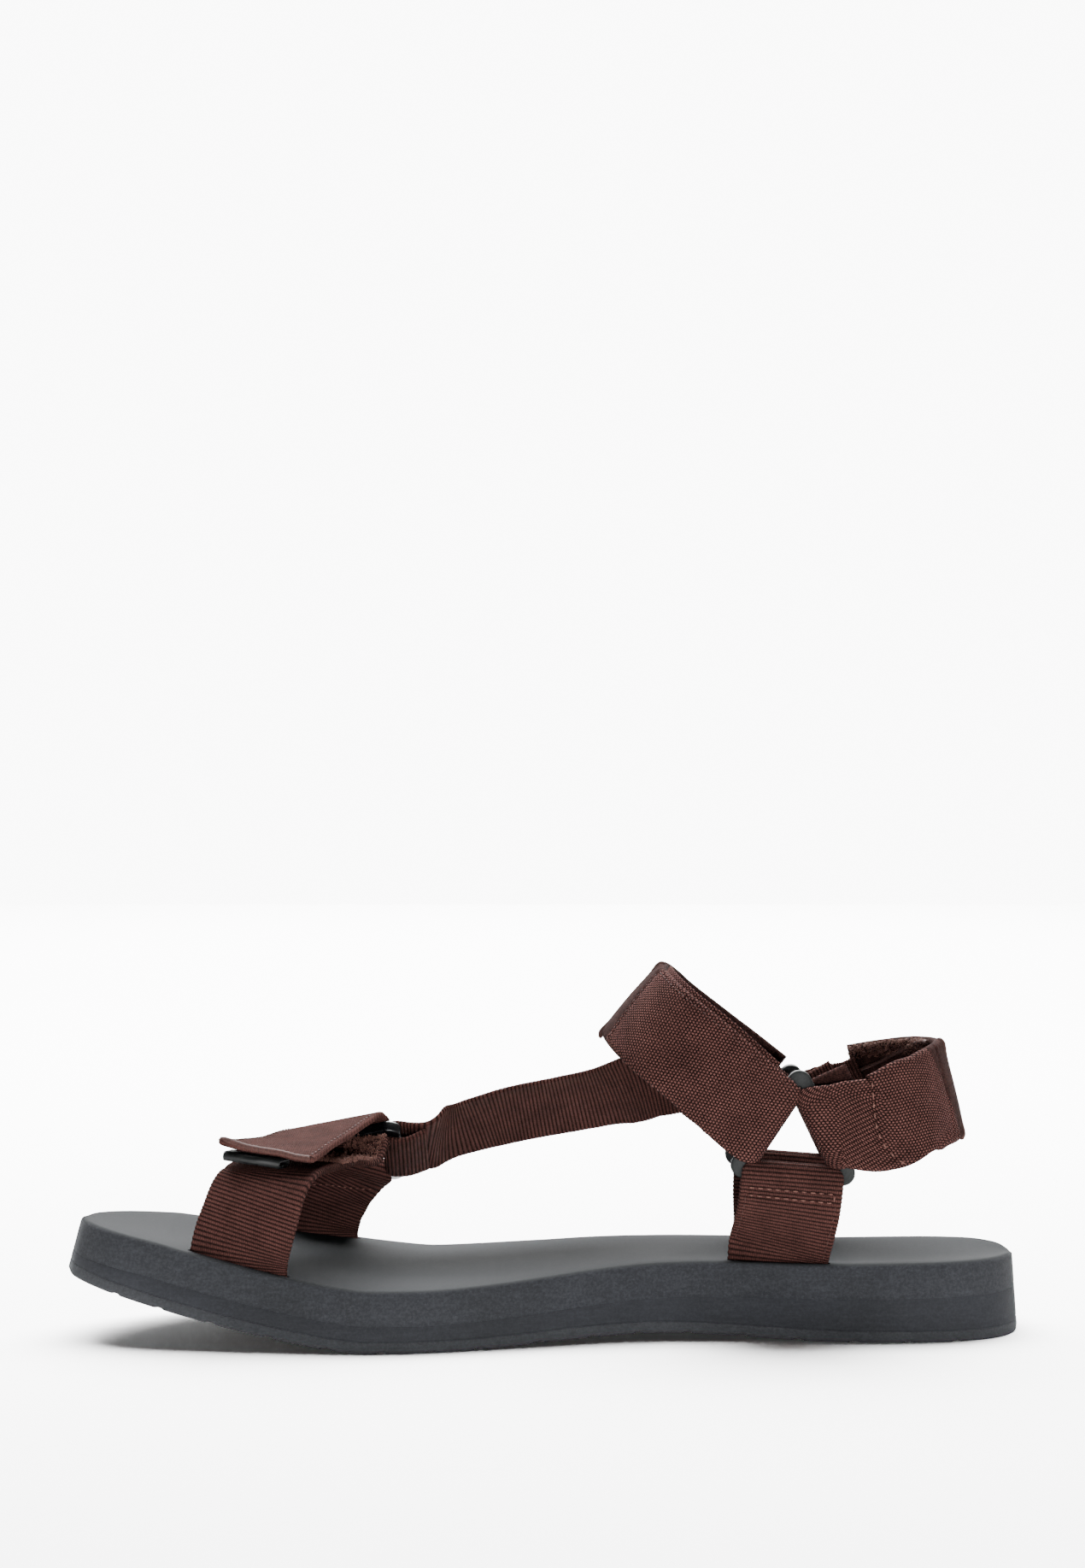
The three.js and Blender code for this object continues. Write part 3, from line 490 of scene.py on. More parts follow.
def ring_frame(along, across, height, outwards, down, hole):
    """Middle, face normal and the outward and lengthwise ways of the three bars of a ring."""
    centre = np.array([(along - 0.5) * SOLE["length"], across * SOLE["ball_width"] / 2, height])
    n = unit(outwards)
    first = unit(np.array(down, float) - np.dot(down, n) * n)
    bars = []
    for k in range(3):
        turn = k * 2 * math.pi / 3
        o = first * math.cos(turn) + np.cross(n, first) * math.sin(turn)
        bars.append((o, np.cross(n, o)))
    return dict(centre=centre, n=n, bars=bars, hole=hole, inner=hole / (2 * math.sqrt(3)))


INNER_RING = ring_frame(0.757, -0.580, 59.2, (0, -1, 0.05), (-0.08, 0, -1), RING["hole"])
OUTER_RING = ring_frame(0.762, 0.580, 55.8, (0, 1, 0.05), (-0.08, 0, -1), RING["hole"])
TOE_RING = ring_frame(0.302, 0.545, 50.0, (0.05, 0.52, 0.85), (1, 0, 0), RING["toe_hole"])


# %% Ring solids
def make_ring(frame_of, name, material, node, corner=3.6, turns=96, round_steps=24):
    clear_selection()
    bpy.ops.mesh.primitive_torus_add(major_segments=turns, minor_segments=round_steps, major_radius=1, minor_radius=0.25)
    ring = bpy.context.object
    flat = points_of(ring) * MM
    major = np.arctan2(flat[:, 1], flat[:, 0]) % (2 * np.pi)
    minor = np.arctan2(flat[:, 2], np.hypot(flat[:, 0], flat[:, 1]) - 1)
    # section: a rounded rectangle, wide across the bar and thin along the ring's normal
    power = lambda value: np.sign(value) * np.abs(value) ** 0.32
    across, height = power(np.cos(minor)) * RING["bar"] / 2, power(np.sin(minor)) * RING["thickness"] / 2
    # path: three corners of 120 degrees, each arc taking half of its third of the turn
    third = (major / (2 * np.pi) * 3) % 1
    which = np.floor(major / (2 * np.pi) * 3)
    radius = 0.6 + (across / RING["bar"] + 0.5) * (corner - 0.6)
    inradius = frame_of["inner"] + RING["bar"] / 2 + across

    def on_arc(number, share):
        """Point on the arc of a corner; share runs from 0 to 1 over its 120 degrees."""
        middle = np.pi / 2 + number * 2 * np.pi / 3
        angle = middle + (share - 0.5) * 2 * np.pi / 3
        away = 2 * (inradius - radius)
        return np.stack([away * np.cos(middle) + radius * np.cos(angle), away * np.sin(middle) + radius * np.sin(angle)], 1)

    straight = np.clip((third - 0.5) * 2, 0, 1)[:, None]
    path = on_arc(which, np.clip(third * 2, 0, 1)) * (1 - straight) + on_arc(which + 1, 0.0) * straight
    up = -frame_of["bars"][0][0]
    side = np.cross(up, frame_of["n"])
    move_points(ring, frame_of["centre"] + path[:, :1] * side + path[:, 1:] * up + height[:, None] * frame_of["n"])
    use(ring)
    in_edit_mode(lambda: bpy.ops.mesh.normals_make_consistent(inside=False))
    return finish_piece(ring, name, material, [node])


def plastic_material(name, colour, worn, rough, speckle, spec):
    make = Recipe(name)
    place = make.node("TexCoord", out=3)
    grain = make.noise(place, 2600, 2)
    smear = make.noise(place, 120, 3)
    shade = make.blend(make.maths("MULTIPLY", make.ramp(smear, 0.35, 0.75), 0.3), colour, worn)
    normal = make.bump(grain, 0.03 * speckle)
    normal = make.bump(smear, 0.08, below=normal)
    return make.done(shade, make.ramp(smear, 0.3, 0.7, rough - 0.08, rough + 0.1), normal, Specular_IOR_Level=spec)


grey_plastic = plastic_material("satin_ring_plastic", tone(11, 13, 13), tone(19, 22, 21), 0.6, 1.0, 0.12)
black_plastic = plastic_material("black_ring_plastic", tone(2, 2, 3), tone(5, 6, 7), 0.25, 0.4, 0.25)
black_rubber = plastic_material("pull_loop_rubber", tone(3, 4, 4), tone(7, 9, 9), 0.45, 1.0, 0.15)
make_ring(INNER_RING, "inner_ring", grey_plastic, "ankle_ring_inner")
make_ring(OUTER_RING, "outer_ring", grey_plastic, "ankle_ring_outer")
make_ring(TOE_RING, "front_ring", black_plastic, "toe_ring")

# %% [markdown]
# ## How a strap is laid
# Webbing is a woven band, cut flat and then led from its slot, round the bars and back. A strap could be
# a curve with a profile, but then the ribs would not follow it. So each strap starts as a flat grid that
# is one wrap of its cross section wide and its real length long. The grid is laid along a line of
# stations, and every point keeps its flat place: how far across the band, how far along, and which face.
# The weave reads that flat place, so the ribs bend with the strap as real ones do.

# %% Stations of a strap
WEB = dict(width=30, thickness=1.6, tab=2.0, pad=3.2)


def key(c, w, half=15.0, crown=0.0):
    return np.array([*c, *unit(w), half, crown], float)


def rows(table, height, half=15.0):
    """Table rows: share of length, share of half the ball width, share of height, way across, crown."""
    keys = []
    for row in table:
        along, across, up, way = row[:4]
        place = ((along - 0.5) * SOLE["length"], across * SOLE["ball_width"] / 2, up * height)
        keys.append(key(place, way, half, row[4] if len(row) > 4 else 0.0))
    return keys


def slot_keys(leg):
    """A leg leaves its slot square to the slope of the footbed."""
    along, across, turn = SLOTS[leg]
    x, y, a = (along - 0.5) * SOLE["length"], across * SOLE["ball_width"] / 2, math.radians(turn)
    way = np.array([-math.cos(a), math.sin(a), 0.0])
    keys = []
    for surface, lift in ((footbed_low, 0.4), (footbed_top, 2)):
        ends = [np.array([x, y, 0]) + s * way * WEB["width"] / 2 for s in (1, -1)]
        for e in ends:
            e[2] = surface(e[0], e[1])
        level = max(float(surface(x, y)), (ends[0][2] + ends[1][2]) / 2)
        keys.append(key((x, y, level + lift), ends[0] - ends[1]))
    return keys


def bar_loop(ring, k, thick, half, sign, fit=0.3):
    """Round one bar of a ring: over its outer face, through the hole, back along its inner face."""
    o, d = ring["bars"][k]
    hub = RING["thickness"] / 2
    radius = hub + fit + thick / 2
    middle = ring["centre"] + o * (ring["inner"] + hub)
    keys = []
    for degrees in (None, 0, 30, 60, 90, 120, 150, 180, None):
        if degrees is None:
            along, off, inside = RING["bar"] - hub + 1.5, radius * (1 if not keys else -1), 99
        else:
            a = math.radians(degrees)
            along, off = -radius * math.sin(a), radius * math.cos(a)
            inside = ring["inner"] + hub + along - thick / 2
        room = min(half, (2 * ring["inner"] + inside) / math.sqrt(3) - 0.3) if 45 < (degrees or 0) < 135 else half
        keys.append(key(middle + o * along + ring["n"] * off, d * sign, room))
    return keys


def ply_end(ring, k, outwards, thick, half, sign, gap=0.45):
    """End of the short ply that lies behind the outer one."""
    o, d = ring["bars"][k]
    off = RING["thickness"] / 2 + 0.3 + thick / 2 - thick - gap
    return key(ring["centre"] + o * (ring["inner"] + RING["bar"] + outwards) + ring["n"] * off, d * sign, half)


def sewn_ply(ring, k, thick, half, side, way, gap=0.45):
    """Where the two plies come together beside the bar that they turn round."""
    o, d = ring["bars"][k]
    off = 1.2 + side * (thick + gap) / 2
    return key(ring["centre"] + o * (ring["inner"] + RING["bar"] + 8) + ring["n"] * off, way, half)


# %% Laying a strap along its stations
def gauss(values, sigma):
    reach_of = int(3 * sigma) + 1
    bell = np.exp(-0.5 * (np.arange(-reach_of, reach_of + 1) / sigma) ** 2)
    bell /= bell.sum()
    padded = np.vstack([2 * values[0] - values[reach_of:0:-1], values, 2 * values[-1] - values[-2:-reach_of - 2:-1]])
    return np.stack([np.convolve(padded[:, c], bell, "valid") for c in range(values.shape[1])], 1)


def strap_line(keys, step, softness=1.2):
    """Even stations along a strap: middle, way across, face normal, half width, crown."""
    fine = spline(keys, 30)
    gone = np.concatenate([[0], np.cumsum(np.linalg.norm(np.diff(fine[:, :3], axis=0), axis=1))])
    count = int(gone[-1] / step)
    v = np.linspace(0, gone[-1], count + 1)
    line = np.stack([np.interp(v, gone, fine[:, c]) for c in range(fine.shape[1])], 1)
    line = gauss(line, softness / step)
    middle, way = line[:, :3], line[:, 3:6]
    heading = np.gradient(middle, axis=0)
    heading /= np.linalg.norm(heading, axis=1)[:, None]
    way = way - (way * heading).sum(1)[:, None] * heading
    way /= np.linalg.norm(way, axis=1)[:, None]
    face = np.cross(heading, way)
    return dict(v=v, middle=middle, way=way, face=face, half=line[:, 6], crown=line[:, 7], heading=heading)


def thread_lengths(line, columns, start):
    """Real length along the strap at several places across it, counted from the station at start."""
    shares = np.linspace(-1, 1, columns)
    place = line["middle"][:, None] + line["way"][:, None] * (shares[None, :, None] * line["half"][:, None, None])
    gone = np.concatenate([np.zeros((1, columns)), np.cumsum(np.linalg.norm(np.diff(place, axis=0), axis=2), axis=0)])
    first = np.argmin(np.abs(line["v"] - start))
    return gone - gone[first] + line["v"][first]


def lay_strap(keys, thick, step, relief, edge=0.9, section=18, end_round=0.8, softness=1.2, scallop=0.0, bend=None, trim=None, even_at=None):
    """Turns a flat grid into a closed strap. relief(u, v, side) is the extra height of its surface, bend(u, v)
    moves both faces together, trim(v, side of u) widens one edge, and even_at is the station from which a weave
    counts its threads evenly."""
    line = strap_line(keys, step, softness)
    line["thick"], line["bend"] = thick, bend or (lambda u, v: 0.0 * v)
    count = len(line["v"])
    # one wrap of the section: outer face from edge to edge, then the inner face back
    t = np.linspace(-1, 1, section)
    spread = np.sign(t) * (1 - (1 - np.abs(t)) ** 1.5)
    turn = np.linspace(0, np.pi, 7)[1:-1]
    wrap = len(spread) * 2 + len(turn) * 2
    clear_selection()
    bpy.ops.mesh.primitive_grid_add(x_subdivisions=wrap, y_subdivisions=count - 1, size=1, location=(0, 0, 0))
    piece = bpy.context.object
    flat = points_of(piece) * MM
    i = np.rint((flat[:, 0] + 0.5) * wrap).astype(int)
    j = np.rint((flat[:, 1] + 0.5) * (count - 1)).astype(int)
    half, v = line["half"][j], line["v"][j]
    if scallop:
        half = half + scallop * np.sin(2 * np.pi * v / RIB)
    ends = np.minimum(v, line["v"][-1] - v)
    slim = np.sqrt(np.clip(1 - (1 - np.clip(ends / end_round, 0, 1)) ** 2, 0.02, 1))
    ht = thick / 2 * slim
    side_x = np.concatenate([spread, [0] * len(turn), -spread, [0] * len(turn), [spread[0]]])
    kind = np.concatenate([[1] * len(spread), [2] * len(turn), [-1] * len(spread), [-2] * len(turn), [1]])
    angle = np.concatenate([spread * 0, turn, spread * 0, turn, [0]])
    ki, ai = kind[i], angle[i]
    way_of = np.where((side_x[i] > 0) | (ki == 2), 1.0, -1.0)
    if trim:
        half = half + trim(v, way_of)
    u = side_x[i] * (half - edge)
    off = np.where(ki > 0, 1.0, -1.0)
    u = np.where(ki == 2, half - edge + edge * np.sin(ai), u)
    off = np.where(ki == 2, np.cos(ai), off)
    u = np.where(ki == -2, -(half - edge) - edge * np.sin(ai), u)
    off = np.where(ki == -2, -np.cos(ai), off)
    share = np.clip(np.abs(u) / half, 0, 1)
    lift = off * ht + line["crown"][j] * (1 - share**2) + off * relief(u, v, np.where(off >= 0, 1, -1)) * slim + line["bend"](u, v)
    place = line["middle"][j] + line["way"][j] * u[:, None] + line["face"][j] * lift[:, None]
    along = v
    if even_at is not None:
        lengths = thread_lengths(line, 15, even_at)
        column = np.clip((u / line["half"][j] + 1) * 7, 0, 13.999)
        low = column.astype(int)
        along = lengths[j, low] * (1 - column + low) + lengths[j, low + 1] * (column - low)
    piece.data.attributes.new("cut", "FLOAT_VECTOR", "POINT").data.foreach_set("vector", np.stack([u, along, off], 1).ravel())
    move_points(piece, place)
    bpy.ops.object.mode_set(mode="EDIT")
    bpy.ops.mesh.select_all(action="SELECT")
    bpy.ops.mesh.remove_doubles(threshold=0.000004)
    bpy.ops.mesh.select_all(action="DESELECT")
    bpy.ops.mesh.select_non_manifold(extend=False, use_wire=False, use_multi_face=False, use_non_contiguous=False, use_verts=False)
    bpy.ops.mesh.edge_face_add()
    bpy.ops.mesh.select_all(action="SELECT")
    bpy.ops.mesh.normals_make_consistent(inside=False)
    bpy.ops.object.mode_set(mode="OBJECT")
    return piece, line


def by_table(table):
    """Extra width of each edge from a short table: station, at the edge of positive u, at the other edge."""
    v, upper, lower = np.array(table, float).T
    return lambda at, way_of: np.where(way_of > 0, np.interp(at, v, upper), np.interp(at, v, lower))


def on_strap(line, u, v, side, lift=0.0):
    """Places on a laid strap: across u, along v, on the face of side, raised by lift."""
    u, v = np.broadcast_arrays(np.asarray(u, float), np.asarray(v, float))
    take = lambda name: np.stack([np.interp(v, line["v"], line[name][:, c]) for c in range(3)], 1)
    half, crown = (np.interp(v, line["v"], line[name]) for name in ("half", "crown"))
    high = side * (line["thick"] / 2 + lift) + crown * (1 - np.clip(np.abs(u) / half, 0, 1) ** 2) + line["bend"](u, v)
    face = take("face")
    return take("middle") + take("way") * u[:, None] + face * high[:, None], face * side


# %% [markdown]
# ## Weaves
# Ribbed webbing has cords across the band a little over a millimetre apart, tied down by fine lengthwise
# threads. The sleeves are plain canvas, with threads a little under a millimetre apart both ways. The cords of the webbing are
# real relief in the mesh; threads finer than that are bump. The colour follows the same thread height: the gaps between
# threads get painted shade and the thread tops a painted highlight, and the dye is a little uneven from place to place.

# %% Webbing material
RIB = 1.16


def cloth_done(make, height, fray, deep, high, patch, depth=0.25):
    """Colour, roughness and bump that all cloth here shares: painted shade in the gaps between threads and a painted
    highlight on the thread tops.
    """
    # the share runs from painted shade in the thread gaps to a painted highlight on the thread tops, scaled by uneven
    # dye
    share = make.maths("MULTIPLY", make.ramp(height, 0.1, 0.95), make.ramp(patch, 0.3, 0.7, 0.7, 1.1))
    share = make.maths("ADD", share, make.ramp(fray, 0.3, 0.8, -0.2, 0.3))
    colour = make.blend(make.ramp(share, 0, 1.1), deep, high)
    normal = make.bump(height, depth)
    normal = make.bump(fray, 0.08, below=normal)
    return make.done(colour, make.ramp(height, 0, 1, 0.98, 0.8), normal, Specular_IOR_Level=0.01)


def flat_place(make):
    """The cut attribute of a strap: across in mm, along in mm, and the face."""
    flat = make.node("Attribute", out=1, settings={"attribute_name": "cut"})
    split = make.tree.nodes.new("ShaderNodeSeparateXYZ")
    make.tree.links.new(flat, split.inputs[0])
    return flat, split.outputs[0], split.outputs[1], split.outputs[2]


def brick_weave(make, u, v, across, along):
    """Thread crossings in rows, each row shifted by half a thread."""
    row = make.maths("FLOOR", make.maths("MULTIPLY", v, 1 / along))
    shifted = make.maths("ADD", u, make.maths("MULTIPLY", row, across / 2))
    return make.maths("MULTIPLY", make.wave(shifted, across, 1.1), make.wave(v, along, 0.9))


def webbing_material(name, deep, high):
    make = Recipe(name)
    flat, u, v, face = flat_place(make)
    rib = make.wave(v, RIB, 0.9)
    row = make.maths("FLOOR", make.maths("MULTIPLY", v, 1 / RIB))
    warp = make.wave(make.maths("ADD", u, make.maths("MULTIPLY", row, 0.325)), 0.65, 0.6)
    thread = make.maths("MULTIPLY", rib, make.ramp(warp, 0, 1, 0.45, 1.0))
    return cloth_done(make, thread, make.noise(flat, 2.6, 3, 0.65), deep, high, make.noise(flat, 0.12, 3))


def canvas_material(name, deep, high, outside, first, last):
    """Coarse woven band at both ends of a sleeve, smooth cloth between first and last and all along the inside."""
    make = Recipe(name)
    flat, u, v, face = flat_place(make)
    wander = make.noise(flat, 0.8, 2)
    coarse = brick_weave(make, make.maths("ADD", u, make.ramp(wander, 0, 1, -0.1, 0.1)), v, 0.92, 0.92)
    fine = brick_weave(make, u, v, 0.30, 0.30)
    in_pad = make.maths("MULTIPLY", make.maths("GREATER_THAN", v, first), make.maths("LESS_THAN", v, last))
    smooth_part = make.maths("MAXIMUM", in_pad, make.maths("LESS_THAN", make.maths("MULTIPLY", face, outside), -0.2))
    woven = make.maths("MULTIPLY", coarse, make.maths("SUBTRACT", 1.0, smooth_part))
    pad = make.maths("MULTIPLY", make.ramp(fine, 0, 1, 0.18, 0.32), smooth_part)
    return cloth_done(make, make.maths("ADD", woven, pad), make.noise(flat, 2.2, 3, 0.65), deep, high, make.noise(flat, 0.10, 3), 0.32)


# darkest tone: painted shade in the gaps between threads; lightest tone: painted highlight on the thread tops. The
# sleeve cloth pairs below are painted the same way.
PAINTED_GAP_SHADE, PAINTED_TOP_HIGHLIGHT = tone(12, 7, 6), tone(56, 35, 32)
ANKLE_OUT, HEEL_OUT = -1, 1
webbing = webbing_material("ribbed_webbing", PAINTED_GAP_SHADE, PAINTED_TOP_HIGHLIGHT)
ankle_canvas = canvas_material("ankle_sleeve_cloth", tone(7, 4, 4), tone(77, 50, 46), ANKLE_OUT, 86, 130)
heel_canvas = canvas_material("heel_sleeve_cloth", tone(7, 4, 4), tone(77, 50, 46), HEEL_OUT, 72, 104)
print("cloth materials are ready")


def rib_relief(depth=0.09, pitch=RIB):
    def relief(u, v, side):
        return depth * (np.abs(np.sin(np.pi * v / pitch)) ** 0.7 - 0.6)
    return relief


# %% Seams drawn into a surface
def sewn(base, seams):
    """Adds a soft trough along each seam (u0, v0, u1, v1, depth, width) on the face of its side, with small gathers."""
    def relief(u, v, side):
        total = base(u, v, side)
        for u0, v0, u1, v1, depth, width, face in seams:
            size = math.hypot(u1 - u0, v1 - v0)
            du, dv = (u1 - u0) / size, (v1 - v0) / size
            along, off = (u - u0) * du + (v - v0) * dv, (u - u0) * dv - (v - v0) * du
            past = np.maximum(0, np.maximum(-along, along - size))
            bell = np.exp(-((off / width) ** 2) - (past / 1.0) ** 2) * (side == face)
            near = np.exp(-((off / (3.2 * width)) ** 2) - (past / 1.5) ** 2) * (side == face)
            total = total - depth * bell + 0.35 * depth * near * np.sin(2 * np.pi * along / 3.1)
        return total
    return relief


# %% [markdown]
# ## Thread
# A lock stitch shows as a row of short plump bits of thread, each sunk a little at its ends. One bit is
# modelled as a small low sphere and copied along every row.

# %% Bits of thread
def thread_bits(name, starts, ends, normals, thick, material, shape_of=None):
    """One bit of thread from each start to its end, joined into one piece."""
    clear_selection()
    if shape_of is None:
        bpy.ops.mesh.primitive_uv_sphere_add(segments=6, ring_count=5, radius=1)
    else:
        shape_of()
    first = bpy.context.object
    shape = points_of(first) * MM
    bits = []
    for start, end, normal in zip(starts, ends, normals):
        bit = first
        if bits:
            bit = first.copy()
            bit.data = first.data.copy()
            bpy.context.collection.objects.link(bit)
        bits.append(bit)
        axis = unit(end - start)
        wide = unit(np.cross(normal, axis))
        high = np.cross(axis, wide)
        size = np.linalg.norm(end - start) / 2
        move_points(bit, (start + end) / 2 + shape[:, :1] * axis * size + shape[:, 1:2] * wide * thick / 2 + shape[:, 2:] * high * thick / 2)
    use(first)
    for bit in bits:
        bit.select_set(True)
    bpy.ops.object.join()
    return finish_piece(bpy.context.object, name, material)


def stitch_rows(name, line, side, rows_of, material, length=1.7, gap=0.8, thick=0.5):
    """Lock stitches along straight rows (u0, v0, u1, v1) of a laid strap."""
    starts, ends, normals = [], [], []
    for u0, v0, u1, v1 in rows_of:
        size = math.hypot(u1 - u0, v1 - v0)
        count = max(1, int(size / (length + gap)))
        t, reach_of = (np.arange(count) + 0.5) / count, length / 2 / size
        a, n = on_strap(line, u0 + (u1 - u0) * (t - reach_of), v0 + (v1 - v0) * (t - reach_of), side, 0.02)
        b, _ = on_strap(line, u0 + (u1 - u0) * (t + reach_of), v0 + (v1 - v0) * (t + reach_of), side, 0.02)
        starts, ends, normals = starts + list(a), ends + list(b), normals + list(n)
    return thread_bits(name, starts, ends, normals, thick, material)


def thread_material(name, low, high):
    make = Recipe(name)
    place = make.node("TexCoord", out=3)
    twist = make.noise(place, 2200, 2)
    normal = make.bump(twist, 0.06)
    return make.done(make.blend(make.ramp(twist, 0.3, 0.7), low, high), 0.8, normal, Specular_IOR_Level=0.15)


brown_thread = thread_material("brown_thread", tone(22, 11, 9), tone(54, 31, 27))
pale_thread = thread_material("worn_thread", tone(50, 30, 26), tone(82, 55, 48))

hem_cloth = thread_material("hem_cloth", tone(30, 16, 13), tone(52, 30, 26))
pile_thread = thread_material("pile_thread", tone(52, 31, 26), tone(84, 57, 49))


# %% Rolled hems and loop pile
def hem_cord(name, line, side, marks, radius, material):
    """A rolled edge or piping: a cord laid on a strap through a few places (u, v, lift)."""
    marks = spline(marks, 8)
    place, normal = on_strap(line, marks[:, 0], marks[:, 1], side, marks[:, 2])
    heading = np.gradient(place, axis=0)
    keys = [key(c, np.cross(n, h), radius) for c, n, h in zip(place, normal, heading)]
    cord, _ = lay_strap(keys, 2 * radius, 0.5, lambda u, v, face: 0.04 * np.sin(v * 4.1), edge=radius * 0.96, section=4, end_round=radius, softness=0.4)
    return finish_piece(cord, name, material)


def loop_pile(name, line, side, area, count, material, seed):
    """Loose little thread loops standing on a strap inside (u0, u1, v0, v1)."""
    rng = np.random.default_rng(seed)
    u, v = rng.uniform(area[0], area[1], count), rng.uniform(area[2], area[3], count)
    foot, normal = on_strap(line, u, v, side, -0.15)
    lean_to = rng.normal(0, 0.45, (count, 3))
    tips = foot + normal * rng.uniform(0.7, 1.2, count)[:, None] + lean_to * 0.7
    sideways = np.cross(normal, rng.normal(0, 1, (count, 3)))
    ring_shape = lambda: bpy.ops.mesh.primitive_torus_add(major_segments=6, minor_segments=3, major_radius=1, minor_radius=0.22)
    return thread_bits(name, foot, tips, sideways, 0.75, material, ring_shape)


# %% [markdown]
# ## The webbing legs and the toe strap
# Four legs come up from the sole. The two ankle legs go round the bottom bar of their ring and are sewn
# back on themselves. The toe strap is one band: it crosses the forefoot, goes through the toe ring and
# folds back over itself as the flap that opens and closes the shoe.

# %% Ankle legs
def ankle_leg(name, leg, ring, sign):
    along, across, turn = SLOTS[leg]
    x, y = (along - 0.5) * SOLE["length"], across * SOLE["ball_width"] / 2
    base = np.array([-math.cos(math.radians(turn)), math.sin(math.radians(turn)), 0])
    foot = np.array([x, y, float(footbed_top(x, y)) + 2])
    o, d = ring["bars"][0]
    start = ring["centre"] + o * (ring["inner"] + RING["bar"] + 6) + ring["n"] * (RING["thickness"] / 2 + 0.3 + 0.8)
    at = lambda s: foot + (start - foot) * s
    way = lambda s: base * (1 - s) + d * sign * s
    inwards = np.array([0, -sign, 0.0])
    keys = slot_keys(leg) + [key(at(0.45), way(0.5)), key(at(0.85), way(0.9))] + bar_loop(ring, 0, 1.6, 15, sign)
    keys += [key(at(0.85) + inwards * 2.3, way(0.9)), key(at(0.45) + inwards * 2.1, way(0.5))]
    rows_of = [(13.0, 34.4, -12.6, 34.8), (13.0, 32.0, -12.6, 32.4), (-12.6, 34.8, -12.6, 32.4), (13.2, 32.0, 13.2, 14.0), (-13.2, 32.0, -13.2, 14.0)]
    trough = [(*row, 0.45, 0.7, -sign) for row in rows_of[:2]] + [(*row, 0.15, 0.6, -sign) for row in rows_of[3:]]
    piece, line = lay_strap(keys, WEB["thickness"], 0.26, sewn(rib_relief(), trough), scallop=0.10)
    finish_piece(piece, name, webbing, [leg.replace("ankle", "ankle_leg")])
    stitch_rows(name + "_stitches", line, -sign, rows_of[:3], pale_thread, thick=0.52)
    stitch_rows(name + "_side_stitches", line, -sign, rows_of[3:], brown_thread, thick=0.4)
    return line


inner_leg = ankle_leg("inner_ankle_leg", "ankle_inner", INNER_RING, -1)
outer_leg = ankle_leg("outer_ankle_leg", "ankle_outer", OUTER_RING, 1)

# %% Toe strap and outer toe leg
TOE_HEIGHT, RING_HEIGHT, INSTEP, HEEL_HEIGHT = 61, 50, 110, 86
RISING = [(0.197, -0.790, 0.620, (-0.95, 0.30, 0.00)), (0.208, -0.762, 0.765, (-0.93, 0.36, 0.02)),
          (0.216, -0.700, 0.818, (-0.93, 0.37, 0.02)), (0.229, -0.450, 0.836, (-0.93, 0.36, 0.04)),
          (0.252, -0.090, 0.832, (-0.93, 0.36, 0.04)), (0.270, 0.170, 0.822, (-0.92, 0.38, -0.05))]
FLAP = [(0.264, 0.130, 0.966, (-0.93, 0.35, -0.15)), (0.247, -0.170, 0.942, (-0.93, 0.35, -0.08), 0.4),
        (0.229, -0.465, 0.935, (-0.93, 0.36, 0.02), 0.4), (0.213, -0.730, 0.928, (-0.93, 0.35, 0.10))]
toe_keys = slot_keys("toe_inner") + rows(RISING, TOE_HEIGHT) + bar_loop(TOE_RING, 2, 2.0, 15, -1)[::-1] + rows(FLAP, TOE_HEIGHT)


def flap_curl(u, v):
    """The flap's front corner curls up, its other corner hangs, and the lower layer sags at its edge by the ring."""
    end = smooth_step(164, 177, v)
    hang = 0.9 * smooth_step(158, 176, v) * smooth_step(3, 11, -u)
    sag = smooth_step(74, 92, v) * (1 - smooth_step(100, 106, v)) * smooth_step(-2, 15, -u)
    return -0.6 * end * smooth_step(6, 15, u) + hang - 0.4 * smooth_step(120, 150, v) * (u / 15) ** 2 - 2.2 * sag


toe_seams = [(-13.2, 124.0, -13.2, 176.0, 0.2, 0.6, -1), (13.2, 124.0, 13.2, 170.0, 0.15, 0.6, -1)]
toe_strap, toe_line = lay_strap(toe_keys, WEB["tab"], 0.26, sewn(rib_relief(), toe_seams), scallop=0.10, bend=flap_curl,
                               trim=by_table([(74, 0.0, 0.0), (90, 0.0, 1.4), (99, 0.0, 1.8), (104, 0.0, 0.0)]))
finish_piece(toe_strap, "toe_strap_band", webbing, ["toe_strap"])
stitch_rows("flap_stitches", toe_line, -1, [row[:4] for row in toe_seams], brown_thread, thick=0.4)
loop_pile("toe_loop_pile", toe_line, 1, (-15.5, -3, 60, 101), 950, pile_thread, 11)
hem_cord("flap_fold", toe_line, -1, [(15.2, 176.4, -0.4), (13.0, 177.0, -0.1), (4.0, 177.2, -0.6), (-13.8, 177.2, -0.7)], 0.9, hem_cloth)


OUT_UP = [(0.250, 0.828, 0.640, (-0.94, -0.33, 0.05)), (0.262, 0.822, 0.800, (-0.90, -0.38, 0.15))]
OUT_DOWN = [(0.263, 0.745, 0.740, (-0.92, -0.36, 0.15)), (0.253, 0.768, 0.640, (-0.94, -0.33, 0.05))]
out_keys = slot_keys("toe_outer") + rows(OUT_UP, RING_HEIGHT) + bar_loop(TOE_RING, 1, 1.6, 15, 1) + rows(OUT_DOWN, RING_HEIGHT)
outer_toe_leg, out_line = lay_strap(out_keys, WEB["thickness"], 0.26, rib_relief(), scallop=0.10)
finish_piece(outer_toe_leg, "outer_toe_leg", webbing, ["toe_leg_outer"])
stitch_rows("outer_toe_leg_stitches", out_line, -1, [(8.5, 62.6, -12.0, 54.6)], pale_thread, length=1.1, gap=0.9, thick=0.38)

